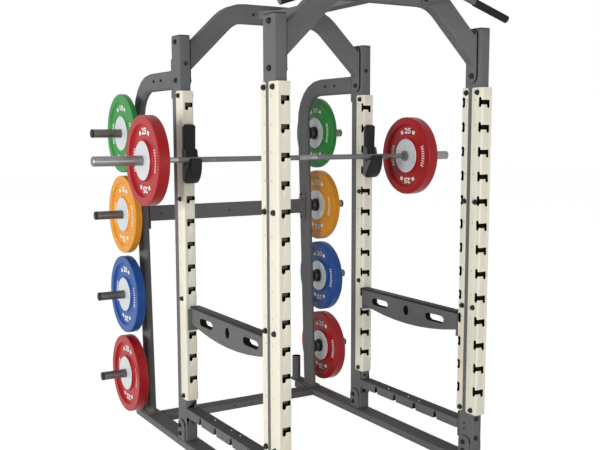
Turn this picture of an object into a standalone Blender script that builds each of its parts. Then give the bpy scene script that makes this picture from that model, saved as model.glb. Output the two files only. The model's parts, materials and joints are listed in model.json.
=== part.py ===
# A power rack: four uprights with slotted channel covers, arches, safety arms, bar hooks,
# storage posts with plates on horns, and a barbell on the hooks.
# Metres. X runs along the bar, Y from the front to the back, Z up from the floor.
import bpy
import bmesh
from math import atan, cos, pi, radians, sin, tan
from mathutils import Matrix, Vector

GAP = 0.0003  # between pieces that touch

# Uprights
UPRIGHT_X = 0.567
UPRIGHT_WIDTH = 0.060
UPRIGHT_DEPTH = 0.105
UPRIGHT_TOP = 2.186
UPRIGHT_ROUNDING = 0.003
MIDDLE_Y = 0.167
FRONT_Y = -0.824

# Base
BEAM_INSET = 0.008  # the beam's centre lies inside the upright's
BEAM_WIDTH = 0.100
BEAM_HEIGHT = 0.040
BEAM_FRONT = -1.0295
BEAM_REAR = 0.8455
BEAM_ROUNDING = 0.004
FLOOR_CROSS_Y = 0.6605
FLOOR_CROSS_WIDTH = 0.100

# Foot brackets
FOOT_PLATE = 0.008
FOOT_WIDTH = 0.086
FOOT_TOP = 0.152
FOOT_CORNER = 0.030

# Slotted channel covers
SHEET = 0.003
COVER_BOTTOM = 0.274
COVER_UNDER_ARCH = 0.019  # its top lies this far below the arches' plates
COVER_ROUNDING = 0.006
FRONT_STANDOFF = 0.0245
FRONT_FLANGE = 0.074
REAR_STANDOFF = 0.0195
REAR_FLANGE = 0.048

# Slots in the covers
SLOT_FIRST = 0.394
SLOT_SPACING = 0.120
SLOT_UNDER_TOP = 0.050  # least distance from the cover's top
MOUTH_UP = 0.012
MOUTH_DOWN = 0.011
MOUTH_REACH = 0.047
LEG_WIDTH = 0.013
LEG_DOWN = 0.028
EYE_FROM_FACE = 0.0155
EYE_WIDTH = 0.014
EYE_UP = 0.028
EYE_DOWN = 0.025

# Side rails
RAIL_INSET = 0.0065
RAIL_WIDTH = 0.0715
RAIL_BOTTOM = 0.178
RAIL_TOP = 0.226
RAIL_PLATE = 0.008
RAIL_PLATE_BOTTOM = 0.133
RAIL_PLATE_TOP = 0.267
NOTCH_COUNT = 4
NOTCH_SPACING = 0.178
NOTCH_WIDTH = 0.017
NOTCH_HEIGHT = 0.030
NOTCH_ROUND = 0.004

# Arches
ARCH_RISE = 0.134  # from the uprights' top to the tube's centre line
ARCH_TUBE = 0.100
ARCH_DEPTH = 0.060
ARCH_ANGLE = 44.0
ARCH_END_DROP = 0.1045  # from the uprights' top to the centre line at the plates
ARCH_BEND = 0.180
ARCH_PLATE = 0.010
ARCH_PLATE_WIDTH = 0.074
ARCH_PLATE_HEIGHT = 0.261

# Centre beam
CENTRE_WIDTH = 0.080
CENTRE_HEIGHT = 0.047
CENTRE_DROP = 0.002
CENTRE_FLARE = 0.256
CENTRE_FLARE_LENGTH = 0.070

# Pull-up bar
PULL_FORWARD = 0.1355  # in front of the front uprights' centre
PULL_RISE = 0.015  # above the arches' centre line
PULL_RADIUS = 0.015
PULL_BEND_X = 0.270
PULL_SLOPE = 18.0
PULL_END_X = 0.622
PULL_BEND = 0.060
GRIP_RADIUS = 0.020
GRIP_FROM_X = 0.416
GRIP_END = 0.005
GRIP_ROUNDING = 0.004
GRIP_SIDES = 12
HANGER_X = 0.225
HANGER_PLATE = 0.010
HANGER_FOOT_WIDTH = 0.060
HANGER_HEIGHT = 0.086

# Storage posts
POST_WIDTH = 0.049
POST_DEPTH = 0.102
POST_UNDER_TOP = 0.217  # from the uprights' top down to its centre line
POST_Y = 0.7272  # centre line where it meets the base
POST_LEAN = 0.043
POST_BEND = 0.205
POST_FLANGE = 0.010
POST_FLANGE_UNDER = 0.099
POST_FLANGE_OVER = 0.103
POST_FOOT_LENGTH = 0.120
POST_FOOT_WIDTH = 0.080
POST_FOOT = 0.008

# Rear crossmember between the storage posts
REAR_CROSS_Z = 1.2235
REAR_CROSS_HEIGHT = 0.088
REAR_CROSS_DEPTH = 0.046
REAR_CROSS_FORWARD = 0.018
CROSS_PLATE = 0.008
CROSS_PLATE_HEIGHT = 0.180

# Storage horns
HORN_COUNT = 4
HORN_FIRST = 0.289
HORN_SPACING = 0.467
HORN_BEHIND = 0.0105  # its axis lies behind the post's centre line
HORN_LENGTH = 0.2035  # beyond the plate's seat
HORN_COLLAR_RADIUS = 0.044
HORN_COLLAR = 0.018
HORN_WAIST_RADIUS = 0.030
HORN_FLANGE_RADIUS = 0.042
HORN_FLANGE = 0.010
HORN_TIP_CHAMFER = 0.006
HORN_SIDES = 10

# Plates
PLATE_RADIUS = 0.2245
BORE_RADIUS = 0.0256
SLEEVE_RADIUS = 0.025
PLATE_SEAT_X = 0.6445
RED_THICKNESS = 0.060
BLUE_THICKNESS = 0.050
AMBER_THICKNESS = 0.041
GREEN_THICKNESS = 0.030
RIM_INNER_RADIUS = 0.183
RIM_SLOPE = 0.005
HUB_RADIUS = 0.105
HUB_STEP = 0.002  # the hub's face below the rim's
WEB_SHARE = 0.27  # each face's recess as a share of the thickness
PLATE_SIDES = 18

# Bar holder
HOLDER_Y = 0.8905
HOLDER_INSET = 0.007
HOLDER_RADIUS = 0.0275
HOLDER_BORE = 0.0256
HOLDER_TOP = 0.200
HOLDER_FLOOR = 0.004
HOLDER_PLATE = 0.008
HOLDER_PLATE_WIDTH = 0.080
HOLDER_PLATE_FRONT = 0.797
HOLDER_PLATE_REAR = 0.925

# Barbell
BAR_OUT = 0.063  # from the cover's face to the bar's centre line
BAR_UNDER_SLOT = 0.0385
BAR_RADIUS = 0.014
BAR_HALF = 1.100
BAR_CHAMFER = 0.002
SLEEVE_LENGTH = 0.328
SLEEVE_CHAMFER = 0.004
SHOULDER_LENGTH = 0.004  # of the sleeve, inside the collar
COLLAR_RADIUS = 0.030
COLLAR_LENGTH = 0.012
SLEEVE_CLEARANCE = 0.0005
SLEEVE_END_WALL = 0.014

# Bar hooks
HOOK_FROM_TOP = 3  # the upper tooth's slot, counted down from the uppermost as 1
HOOK_WIDTH = 0.064
HOOK_SIDE = 0.005
HOOK_BACK = 0.006
HOOK_RISE = 0.180  # liner's top above the bar's centre line
HOOK_FALL = 0.123  # liner's bottom below it
HOOK_REACH = 0.038  # front of the lip beyond the bar's centre line
HOOK_SIDE_TOP = 0.058  # side plate's upper corner above the bar's centre line
HOOK_SHOULDER_OUT = 0.034
HOOK_SHOULDER_UP = 0.050
HOOK_HOLLOW = 0.022
HOOK_SIDE_FOOT = 0.018
BRACKET_INSET = 0.012  # bracket's ends inside the liner's
PAD_THICKNESS = 0.014
PAD_ROUNDING = 0.007
LIP_ROUNDING = 0.0105
LIP_OVER = 0.008  # lip's top above the bar's centre line
LIP_FALL = 0.020  # where its front starts to curve back, below it
HOOK_BELLY = 0.076

# Hook teeth that hang in the slots
TOOTH_WIDTH = 0.010
TOOTH_HEIGHT = 0.018
TOOTH_SEAT = 0.0215
TOOTH_DROP = 0.018
TOOTH_THICKNESS = 0.008

# Safety arms
ARM_SLOT = 3
ARM_WIDTH = 0.038
ARM_TOP = 0.019  # above the slot's centre
ARM_END_DEPTH = 0.083
ARM_BELLY = 0.045
ARM_PLATE = 0.006
ARM_PLATE_RISE = 0.016
ARM_PLATE_FALL = 0.098
ARM_LINER = 0.012
ARM_LINER_ROUNDING = 0.003
ARM_LINER_WIDTH = 0.055
ARM_HOLE_LENGTH = 0.155
ARM_HOLE_HEIGHT = 0.040
ARM_HOLE_OFFSET = 0.243
ARM_HOLE_Z = 0.034
ARM_EYE_WIDTH = 0.044
ARM_EYE_HEIGHT = 0.058

# Worked out from the sizes above
ARCH_CENTRE_Z = UPRIGHT_TOP + ARCH_RISE
ARCH_END_Z = UPRIGHT_TOP - ARCH_END_DROP
ARCH_PLATE_BOTTOM = UPRIGHT_TOP - ARCH_PLATE_HEIGHT
PULL_Y = FRONT_Y - PULL_FORWARD
PULL_Z = ARCH_CENTRE_Z + PULL_RISE
POST_TOP_Z = UPRIGHT_TOP - POST_UNDER_TOP
COVER_TOP = ARCH_PLATE_BOTTOM - COVER_UNDER_ARCH
SLOT_COUNT = int((COVER_TOP - SLOT_UNDER_TOP - SLOT_FIRST) / SLOT_SPACING) + 1
HOOK_SLOT = SLOT_COUNT - HOOK_FROM_TOP
SLEEVE_START = BAR_HALF - SLEEVE_LENGTH
BAR_SEAT_X = SLEEVE_START + SHOULDER_LENGTH + COLLAR_LENGTH
HORN_TIP_X = PLATE_SEAT_X + HORN_LENGTH
BEAM_X = UPRIGHT_X - BEAM_INSET
POST_X = BEAM_X
UPRIGHT_IN = UPRIGHT_X - UPRIGHT_WIDTH / 2
UPRIGHT_OUT = UPRIGHT_X + UPRIGHT_WIDTH / 2
COVER_IN = UPRIGHT_IN - GAP - SHEET
COVER_OUT = UPRIGHT_OUT + GAP + SHEET
MIDDLE_FACE = MIDDLE_Y - UPRIGHT_DEPTH / 2 - FRONT_STANDOFF
FRONT_FACE = FRONT_Y - UPRIGHT_DEPTH / 2 - FRONT_STANDOFF
INSIDE_FACE = FRONT_Y + UPRIGHT_DEPTH / 2 + REAR_STANDOFF
LEG_X = COVER_IN + MOUTH_REACH - LEG_WIDTH / 2
BAR_Y = MIDDLE_FACE - BAR_OUT
BAR_Z = SLOT_FIRST + HOOK_SLOT * SLOT_SPACING - BAR_UNDER_SLOT


def make_material(name, colour, roughness, metallic):
    material = bpy.data.materials.new(name)
    material.use_nodes = True
    shader = material.node_tree.nodes["Principled BSDF"]
    shader.inputs["Base Color"].default_value = (*colour, 1.0)
    shader.inputs["Roughness"].default_value = roughness
    shader.inputs["Metallic"].default_value = metallic
    return material


def new_object(name, mesh, material, collection):
    obj = bpy.data.objects.new(name, mesh)
    if material:
        obj.data.materials.clear()
        obj.data.materials.append(material)
    collection.objects.link(obj)
    return obj


def arc(centre, radius, start, end, steps):
    """Points on an arc, angles in degrees."""
    turns = [radians(start + (end - start) * i / steps) for i in range(steps + 1)]
    return [(centre[0] + radius * cos(t), centre[1] + radius * sin(t)) for t in turns]


def stadium(centre, width, height, steps=2):
    """A slot's outline with round ends: upright if it is taller than wide, else lying."""
    radius = min(width, height) / 2
    half = abs(height - width) / 2
    if height > width:
        top = arc((centre[0], centre[1] + half), radius, 0, 180, steps)
        return top + arc((centre[0], centre[1] - half), radius, 180, 360, steps)
    right = arc((centre[0] + half, centre[1]), radius, -90, 90, steps)
    return right + arc((centre[0] - half, centre[1]), radius, 90, 270, steps)


def rounded_corner(before, corner, after, radius, steps):
    """Points of a fillet at the corner of a path, tangent to both of its runs."""
    a = (Vector(before) - Vector(corner)).normalized()
    b = (Vector(after) - Vector(corner)).normalized()
    half = a.angle(b) / 2
    centre = Vector(corner) + (a + b).normalized() * radius / sin(half)
    first = Vector(corner) + a * radius / tan(half) - centre
    last = Vector(corner) + b * radius / tan(half) - centre
    turn = first.angle_signed(last)
    return [tuple(centre + Matrix.Rotation(-turn * i / steps, 2) @ first) for i in range(steps + 1)]


def settled(obj):
    """The object with its modifiers or its curve turned into one welded mesh."""
    graph = bpy.context.evaluated_depsgraph_get()
    mesh = bpy.data.meshes.new_from_object(obj.evaluated_get(graph))
    work = bmesh.new()
    work.from_mesh(mesh)
    bmesh.ops.remove_doubles(work, verts=work.verts, dist=1e-6)
    bmesh.ops.recalc_face_normals(work, faces=work.faces)
    work.to_mesh(mesh)
    work.free()
    name, matrix, home = obj.name, obj.matrix_world.copy(), obj.users_collection[0]
    bpy.data.objects.remove(obj)
    result = bpy.data.objects.new(name, mesh)
    result.matrix_world = matrix
    home.objects.link(result)
    return result


def finished(obj):
    """A settled object with smooth round faces and sharp edges."""
    obj = settled(obj)
    obj.data.shade_smooth()
    obj.data.set_sharp_from_angle(angle=radians(35))
    return obj


def block(name, low, high, material=None, home=None, rounding=0.0):
    """A box between two corners, its edges rounded."""
    work = bmesh.new()
    bmesh.ops.create_cube(work, size=1.0)
    size = [b - a for a, b in zip(low, high)]
    bmesh.ops.scale(work, vec=size, verts=work.verts)
    mesh = bpy.data.meshes.new(name)
    work.to_mesh(mesh)
    work.free()
    obj = new_object(name, mesh, material, home or cutters)
    obj.location = [(a + b) / 2 for a, b in zip(low, high)]
    if rounding:
        bevel = obj.modifiers.new("Rounding", "BEVEL")
        bevel.width = rounding
    return obj


def flat(name, outlines, thickness, facing, centre, material=None, home=None):
    """A plate cut to an outline, later outlines being its holes. Facing "X" draws it in (Y, Z),
    "Y" in (X, Z) and "Z" in (X, Y); centre is the middle of its thickness."""
    curve = bpy.data.curves.new(name, "CURVE")
    curve.dimensions = "2D"
    curve.fill_mode = "BOTH"
    curve.extrude = thickness / 2
    for outline in outlines:
        spline = curve.splines.new("POLY")
        spline.points.add(len(outline) - 1)
        for point, (u, v) in zip(spline.points, outline):
            point.co = (u, v, 0, 1)
        spline.use_cyclic_u = True
    obj = new_object(name, curve, material, home or cutters)
    if facing == "X":
        obj.rotation_euler = (pi / 2, 0, pi / 2)
        obj.location.x = centre
    elif facing == "Y":
        obj.rotation_euler = (pi / 2, 0, 0)
        obj.location.y = centre
    else:
        obj.location.z = centre
    bpy.context.view_layer.update()
    return settled(obj)


def swept(name, path, section, facing, centre, material, home):
    """A bar of one section along a flat path. The section's first axis lies in the path's plane."""
    profile = bpy.data.curves.new(name + "_section", "CURVE")
    profile.dimensions = "2D"
    edge = profile.splines.new("POLY")
    edge.points.add(len(section) - 1)
    for point, (u, v) in zip(edge.points, section):
        point.co = (u, v, 0, 1)
    edge.use_cyclic_u = True
    guide = new_object(name + "_section", profile, None, cutters)
    curve = bpy.data.curves.new(name, "CURVE")
    curve.dimensions = "2D"
    curve.bevel_mode = "OBJECT"
    curve.bevel_object = guide
    curve.use_fill_caps = True
    spline = curve.splines.new("POLY")
    spline.points.add(len(path) - 1)
    for point, (u, v) in zip(spline.points, path):
        point.co = (u, v, 0, 1)
    obj = new_object(name, curve, material, home)
    obj.rotation_euler = (pi / 2, 0, pi / 2) if facing == "X" else (pi / 2, 0, 0)
    obj.location["XY".index(facing)] = centre
    bpy.context.view_layer.update()
    result = settled(obj)
    bpy.data.objects.remove(guide)
    return result


def turned(name, profile, steps, place, material=None, home=None, tilt=0.0):
    """A turned piece along +X from its place. The profile gives (radius, distance along), from
    its far end down the outer side to its near end."""
    mesh = bpy.data.meshes.new(name)
    work = bmesh.new()
    points = [work.verts.new((radius, 0, along)) for radius, along in profile]
    for first, second in zip(points, points[1:]):
        work.edges.new((first, second))
    if min(profile[0][0], profile[-1][0]) > 0:
        work.edges.new((points[-1], points[0]))
    work.to_mesh(mesh)
    work.free()
    obj = new_object(name, mesh, material, home or cutters)
    screw = obj.modifiers.new("Turn", "SCREW")
    screw.steps = screw.render_steps = steps
    screw.merge_threshold = 1e-6
    screw.use_merge_vertices = True
    obj.rotation_euler = (0, pi / 2 + tilt, 0)
    obj.location = place
    bpy.context.view_layer.update()
    return finished(obj)


def combine(obj, other, operation):
    """Cuts the other from the object, joins it or keeps what they share."""
    other.hide_render = True
    other.display_type = "WIRE"
    step = obj.modifiers.new(operation.title(), "BOOLEAN")
    step.operation = operation
    step.object = other
    step.solver = "EXACT"
    return obj


def mirrored(obj, name):
    """The left-hand copy of a right-hand piece."""
    mesh = obj.data.copy()
    mesh.transform(obj.matrix_world)
    mesh.transform(Matrix.Scale(-1, 4, (1, 0, 0)))
    mesh.flip_normals()
    copy = bpy.data.objects.new(name, mesh)
    rack.objects.link(copy)
    return copy


def pair(obj, name):
    """Finishes a right-hand piece and adds its left-hand copy."""
    obj = finished(obj)
    obj.name = name + "_right"
    return mirrored(obj, name + "_left"), obj


for old in list(bpy.data.objects):
    bpy.data.objects.remove(old)
rack = bpy.data.collections.new("power_rack")
cutters = bpy.data.collections.new("cutters")
cutters.hide_render = True
for collection in (rack, cutters):
    bpy.context.scene.collection.children.link(collection)

steel = make_material("grey_powder_coat", (0.13, 0.13, 0.135), 0.35, 0.0)
cream = make_material("cream_powder_coat", (0.86, 0.84, 0.72), 0.30, 0.0)
black = make_material("black_polymer", (0.02, 0.02, 0.02), 0.55, 0.0)
chrome = make_material("bright_steel", (0.45, 0.45, 0.45), 0.25, 1.0)
red = make_material("red_rubber", (0.42, 0.02, 0.02), 0.50, 0.0)
blue = make_material("blue_rubber", (0.02, 0.08, 0.32), 0.50, 0.0)
amber = make_material("amber_rubber", (0.80, 0.32, 0.02), 0.50, 0.0)
green = make_material("green_rubber", (0.01, 0.18, 0.03), 0.50, 0.0)


# Base beams and the crossmember on the floor
beam = block("base_beam", (BEAM_X - BEAM_WIDTH / 2, BEAM_FRONT, 0),
             (BEAM_X + BEAM_WIDTH / 2, BEAM_REAR, BEAM_HEIGHT), steel, rack, BEAM_ROUNDING)
pair(beam, "base_beam")
cross_end = BEAM_X - BEAM_WIDTH / 2 - GAP
floor_cross = block("rear_floor_crossmember", (-cross_end, FLOOR_CROSS_Y - FLOOR_CROSS_WIDTH / 2, 0),
                    (cross_end, FLOOR_CROSS_Y + FLOOR_CROSS_WIDTH / 2, BEAM_HEIGHT),
                    steel, rack, BEAM_ROUNDING)
finished(floor_cross)


# Foot brackets: a saddle whose round-topped tabs hold the upright
def foot_bracket(name, y):
    bottom = BEAM_HEIGHT + GAP
    inner = UPRIGHT_IN - GAP - FOOT_PLATE
    outer = UPRIGHT_OUT + GAP + FOOT_PLATE
    sides = [(inner, bottom), (outer, bottom), (outer, FOOT_TOP), (outer - FOOT_PLATE, FOOT_TOP),
             (outer - FOOT_PLATE, bottom + FOOT_PLATE), (inner + FOOT_PLATE, bottom + FOOT_PLATE),
             (inner + FOOT_PLATE, FOOT_TOP), (inner, FOOT_TOP)]
    saddle = flat(name, [sides], 2 * FOOT_WIDTH, "Y", y, steel, rack)
    side = FOOT_WIDTH / 2
    tab = [(y - side, 0), (y + side, 0)]
    tab += arc((y + side - FOOT_CORNER, FOOT_TOP - GAP - FOOT_CORNER), FOOT_CORNER, 0, 90, 2)
    tab += arc((y - side + FOOT_CORNER, FOOT_TOP - GAP - FOOT_CORNER), FOOT_CORNER, 90, 180, 2)
    combine(saddle, flat(name + "_tab", [tab], 2 * UPRIGHT_WIDTH, "X", UPRIGHT_X), "INTERSECT")
    pair(saddle, name)


# Uprights
def upright(name, y):
    bottom = BEAM_HEIGHT + FOOT_PLATE + 2 * GAP
    tube = block(name, (UPRIGHT_IN, y - UPRIGHT_DEPTH / 2, bottom),
                 (UPRIGHT_OUT, y + UPRIGHT_DEPTH / 2, UPRIGHT_TOP), steel, rack, UPRIGHT_ROUNDING)
    pair(tube, name)


for where, y in (("front", FRONT_Y), ("middle", MIDDLE_Y)):
    foot_bracket("foot_bracket_" + where, y)
    upright("upright_" + where, y)


# Covers: a folded channel over the upright's face, slotted at its inner corner
def slot_mouths(name, face, into):
    """The slots' mouths and down-legs in the cover's face, cut back past the fold."""
    outlines = []
    for k in range(SLOT_COUNT):
        z = SLOT_FIRST + k * SLOT_SPACING
        leg_bottom = z - LEG_DOWN + LEG_WIDTH / 2
        outline = [(COVER_IN - SHEET, z - MOUTH_DOWN), (LEG_X - LEG_WIDTH / 2, z - MOUTH_DOWN)]
        outline += arc((LEG_X, leg_bottom), LEG_WIDTH / 2, 180, 360, 2)
        outline += [(LEG_X + LEG_WIDTH / 2, z + MOUTH_UP), (COVER_IN - SHEET, z + MOUTH_UP)]
        outlines.append(outline)
    depth = EYE_FROM_FACE + SHEET
    return flat(name, outlines, depth, "Y", face + into * (depth / 2 - SHEET))


def slot_eyes(name, face, into):
    """The upright slots beside them in the inner flange."""
    y = face + into * EYE_FROM_FACE
    height = EYE_UP + EYE_DOWN
    middle = (EYE_UP - EYE_DOWN) / 2
    outlines = [stadium((y, SLOT_FIRST + k * SLOT_SPACING + middle), EYE_WIDTH, height)
                for k in range(SLOT_COUNT)]
    return flat(name, outlines, 4 * SHEET, "X", COVER_IN + SHEET / 2)


def cover(name, face, into, flange):
    """Into is +1 where the cover's hollow lies behind its face, and -1 where it lies in front."""
    far = face + into * flange
    shell = block(name, (COVER_IN, min(face, far), COVER_BOTTOM),
                  (COVER_OUT, max(face, far), COVER_TOP), cream, rack)
    work = bmesh.new()
    work.from_mesh(shell.data)
    open_sides = [f for f in work.faces if abs(f.normal.z) > 0.5 or f.normal.y * into > 0.5]
    bmesh.ops.delete(work, geom=open_sides, context="FACES_ONLY")
    folds = [e for e in work.edges if len(e.link_faces) == 2]
    bmesh.ops.bevel(work, geom=folds, offset=COVER_ROUNDING, segments=1, profile=0.5, affect="EDGES")
    work.to_mesh(shell.data)
    work.free()
    wall = shell.modifiers.new("Sheet", "SOLIDIFY")
    wall.thickness = SHEET
    wall.offset = -1
    wall.use_even_offset = True
    combine(shell, slot_mouths(name + "_mouths", face, into), "DIFFERENCE")
    combine(shell, slot_eyes(name + "_eyes", face, into), "DIFFERENCE")
    pair(shell, name)


cover("cover_front", FRONT_FACE, 1, FRONT_FLANGE)
cover("cover_middle", MIDDLE_FACE, 1, FRONT_FLANGE)
cover("cover_inside", INSIDE_FACE, -1, REAR_FLANGE)


# Side rails, notched along their lower edge, with bolted end plates
rail_x = UPRIGHT_X - RAIL_INSET
rail_front = FRONT_Y + UPRIGHT_DEPTH / 2 + GAP
rail_rear = MIDDLE_Y - UPRIGHT_DEPTH / 2 - GAP
rail = block("side_rail", (rail_x - RAIL_WIDTH / 2, rail_front + RAIL_PLATE / 2, RAIL_BOTTOM),
             (rail_x + RAIL_WIDTH / 2, rail_rear - RAIL_PLATE / 2, RAIL_TOP), steel, rack)
for low_y in (rail_front, rail_rear - RAIL_PLATE):
    end_plate = block("rail_end_plate", (UPRIGHT_IN, low_y, RAIL_PLATE_BOTTOM),
                      (UPRIGHT_OUT, low_y + RAIL_PLATE, RAIL_PLATE_TOP))
    combine(rail, end_plate, "UNION")
notches = []
rail_middle = (rail_front + rail_rear) / 2
for k in range(NOTCH_COUNT):
    y = rail_middle + (k - (NOTCH_COUNT - 1) / 2) * NOTCH_SPACING
    tip = arc((y, RAIL_BOTTOM + NOTCH_HEIGHT - NOTCH_ROUND), NOTCH_ROUND, 20, 160, 3)
    mouth = NOTCH_WIDTH / 2
    notches.append([(y - mouth, RAIL_BOTTOM - NOTCH_ROUND), (y + mouth, RAIL_BOTTOM - NOTCH_ROUND)] + tip)
combine(rail, flat("rail_notches", notches, RAIL_WIDTH * 2, "X", rail_x), "DIFFERENCE")
pair(rail, "side_rail")


# Arches: bent rectangular tube between flange plates on the uprights' inner faces
def arch(name, y):
    slope = tan(radians(ARCH_ANGLE))
    plate_in = UPRIGHT_IN - GAP - ARCH_PLATE
    corner_x = plate_in - (ARCH_CENTRE_Z - ARCH_END_Z) / slope
    reach = plate_in + ARCH_TUBE
    foot = (reach, ARCH_END_Z - slope * ARCH_TUBE)
    right = rounded_corner((0, ARCH_CENTRE_Z), (corner_x, ARCH_CENTRE_Z), foot, ARCH_BEND, 4) + [foot]
    path = [(-x, z) for x, z in reversed(right)] + right
    half, side, round_edge = ARCH_TUBE / 2, ARCH_DEPTH / 2, UPRIGHT_ROUNDING
    section = []
    for u, v, turn in ((1, 1, 0), (-1, 1, 90), (-1, -1, 180), (1, -1, 270)):
        section += arc((u * (half - round_edge), v * (side - round_edge)), round_edge, turn, turn + 90, 1)
    tube = swept(name, path, section, "Y", y, steel, rack)
    middle = ARCH_PLATE / 2
    between = block(name + "_length", (-plate_in - middle, y - ARCH_DEPTH, ARCH_PLATE_BOTTOM),
                    (plate_in + middle, y + ARCH_DEPTH, ARCH_CENTRE_Z + ARCH_TUBE))
    combine(tube, between, "INTERSECT")
    plate = stadium((y, UPRIGHT_TOP - ARCH_PLATE_HEIGHT / 2), ARCH_PLATE_WIDTH, ARCH_PLATE_HEIGHT, 6)
    for side in (-1, 1):
        flange = flat(name + "_flange", [plate], ARCH_PLATE, "X", side * (plate_in + middle))
        combine(tube, flange, "UNION")
    finished(tube)


arch("arch_front", FRONT_Y)
arch("arch_rear", MIDDLE_Y)


# Centre beam, flared where it meets the arches
centre_front = FRONT_Y + ARCH_DEPTH / 2 + GAP
centre_rear = MIDDLE_Y - ARCH_DEPTH / 2 - GAP
narrow, wide = CENTRE_WIDTH / 2, CENTRE_FLARE / 2
side_line = [(wide, centre_front), (narrow, centre_front + CENTRE_FLARE_LENGTH),
             (narrow, centre_rear - CENTRE_FLARE_LENGTH), (wide, centre_rear)]
outline = side_line + [(-x, y) for x, y in reversed(side_line)]
finished(flat("centre_beam", [outline], CENTRE_HEIGHT, "Z", ARCH_CENTRE_Z - CENTRE_DROP, steel, rack))


# Pull-up bar on two hangers in front of the front arch
pull_slope = tan(radians(PULL_SLOPE))
pull_end = (PULL_END_X, PULL_Z - pull_slope * (PULL_END_X - PULL_BEND_X))
half_path = rounded_corner((0, PULL_Z), (PULL_BEND_X, PULL_Z), pull_end, PULL_BEND, 2) + [pull_end]
pull_path = [(-x, z) for x, z in reversed(half_path)] + half_path
pull_bar = swept("pull_up_bar", pull_path, arc((0, 0), PULL_RADIUS, 0, 324, 9), "Y", PULL_Y, steel, rack)
arch_face = FRONT_Y - ARCH_DEPTH / 2 - GAP
hanger_end = PULL_RADIUS * 2
hanger = [(arch_face - HANGER_PLATE / 2, ARCH_CENTRE_Z + HANGER_HEIGHT / 2)]
hanger += arc((PULL_Y, PULL_Z), hanger_end, 90, 270, 5)
hanger += [(arch_face - HANGER_PLATE / 2, ARCH_CENTRE_Z - HANGER_HEIGHT / 2)]
for side in (-1, 1):
    x = side * HANGER_X
    combine(pull_bar, flat("hanger", [hanger], HANGER_PLATE, "X", x), "UNION")
    foot_half = HANGER_FOOT_WIDTH / 2
    foot = block("hanger_foot", (x - foot_half, arch_face - HANGER_PLATE, ARCH_CENTRE_Z - HANGER_HEIGHT / 2),
                 (x + foot_half, arch_face, ARCH_CENTRE_Z + HANGER_HEIGHT / 2))
    combine(pull_bar, foot, "UNION")
finished(pull_bar)

# Grips: sleeves over the sloping ends, closed at the tip
along = 1 / cos(radians(PULL_SLOPE))
grip_length = (PULL_END_X - GRIP_FROM_X) * along
grip_bore = (PULL_RADIUS + GAP) / cos(pi / GRIP_SIDES)
grip_tip = grip_length + GRIP_END
grip_profile = [(0, grip_tip), (GRIP_RADIUS - GRIP_ROUNDING, grip_tip),
                (GRIP_RADIUS, grip_tip - GRIP_ROUNDING), (GRIP_RADIUS, GRIP_ROUNDING),
                (GRIP_RADIUS - GRIP_ROUNDING, 0), (grip_bore, 0),
                (grip_bore, grip_length + GAP), (0, grip_length + GAP)]
grip_start = (GRIP_FROM_X, PULL_Y, PULL_Z - pull_slope * (GRIP_FROM_X - PULL_BEND_X))
grip = turned("grip", grip_profile, GRIP_SIDES, grip_start, black, rack, radians(PULL_SLOPE))
pair(grip, "grip")


# Storage posts: flat-oval tube bent over from the middle uprights down to the base
def post_y(z):
    """The leaning post's centre line."""
    return POST_Y + POST_LEAN * (z - BEAM_HEIGHT)


post_start = MIDDLE_Y + UPRIGHT_DEPTH / 2 + GAP
post_bottom = BEAM_HEIGHT + GAP
post_path = [(post_start + POST_FLANGE / 2, POST_TOP_Z)]
post_path += rounded_corner((post_start, POST_TOP_Z), (post_y(POST_TOP_Z), POST_TOP_Z),
                            (post_y(post_bottom), post_bottom), POST_BEND, 6)
post_path += [(post_y(post_bottom + POST_FOOT / 2), post_bottom + POST_FOOT / 2)]
post = swept("storage_post", post_path, stadium((0, 0), POST_DEPTH, POST_WIDTH, 4), "X", POST_X, steel, rack)
flange = block("post_flange", (UPRIGHT_IN, post_start, POST_TOP_Z - POST_FLANGE_UNDER),
               (UPRIGHT_OUT, post_start + POST_FLANGE, POST_TOP_Z + POST_FLANGE_OVER))
foot_y = post_y(post_bottom)
foot = block("post_foot", (POST_X - POST_FOOT_WIDTH / 2, foot_y - POST_FOOT_LENGTH / 2, post_bottom),
             (POST_X + POST_FOOT_WIDTH / 2, foot_y + POST_FOOT_LENGTH / 2, post_bottom + POST_FOOT))
combine(combine(post, flange, "UNION"), foot, "UNION")
pair(post, "storage_post")


# Rear crossmember between the storage posts
cross_x = POST_X - POST_WIDTH / 2 - GAP
cross_y = post_y(REAR_CROSS_Z) - REAR_CROSS_FORWARD
cross_front = cross_y - REAR_CROSS_DEPTH / 2
cross_back = cross_y + REAR_CROSS_DEPTH / 2
cross = block("rear_crossmember",
              (-cross_x + CROSS_PLATE / 2, cross_front, REAR_CROSS_Z - REAR_CROSS_HEIGHT / 2),
              (cross_x - CROSS_PLATE / 2, cross_back, REAR_CROSS_Z + REAR_CROSS_HEIGHT / 2),
              steel, rack, BEAM_ROUNDING)
for low_x in (-cross_x, cross_x - CROSS_PLATE):
    plate = block("cross_end_plate", (low_x, cross_front, REAR_CROSS_Z - CROSS_PLATE_HEIGHT / 2),
                  (low_x + CROSS_PLATE, cross_back + CROSS_PLATE, REAR_CROSS_Z + CROSS_PLATE_HEIGHT / 2))
    combine(cross, plate, "UNION")
finished(cross)


# Plates: a thick rim, a sunk web and a raised hub, the same on both faces
def plate_piece(name, x, y, z, thickness, material):
    web = thickness * (1 - WEB_SHARE)
    half = [(BORE_RADIUS, thickness - HUB_STEP), (HUB_RADIUS - RIM_SLOPE, thickness - HUB_STEP),
            (HUB_RADIUS, web), (RIM_INNER_RADIUS - RIM_SLOPE, web), (RIM_INNER_RADIUS, thickness),
            (PLATE_RADIUS, thickness)]
    profile = half + [(radius, thickness - along) for radius, along in reversed(half)]
    disc = turned(name, profile, PLATE_SIDES, (x, y, z), material, rack)
    pair(disc, name)


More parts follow.
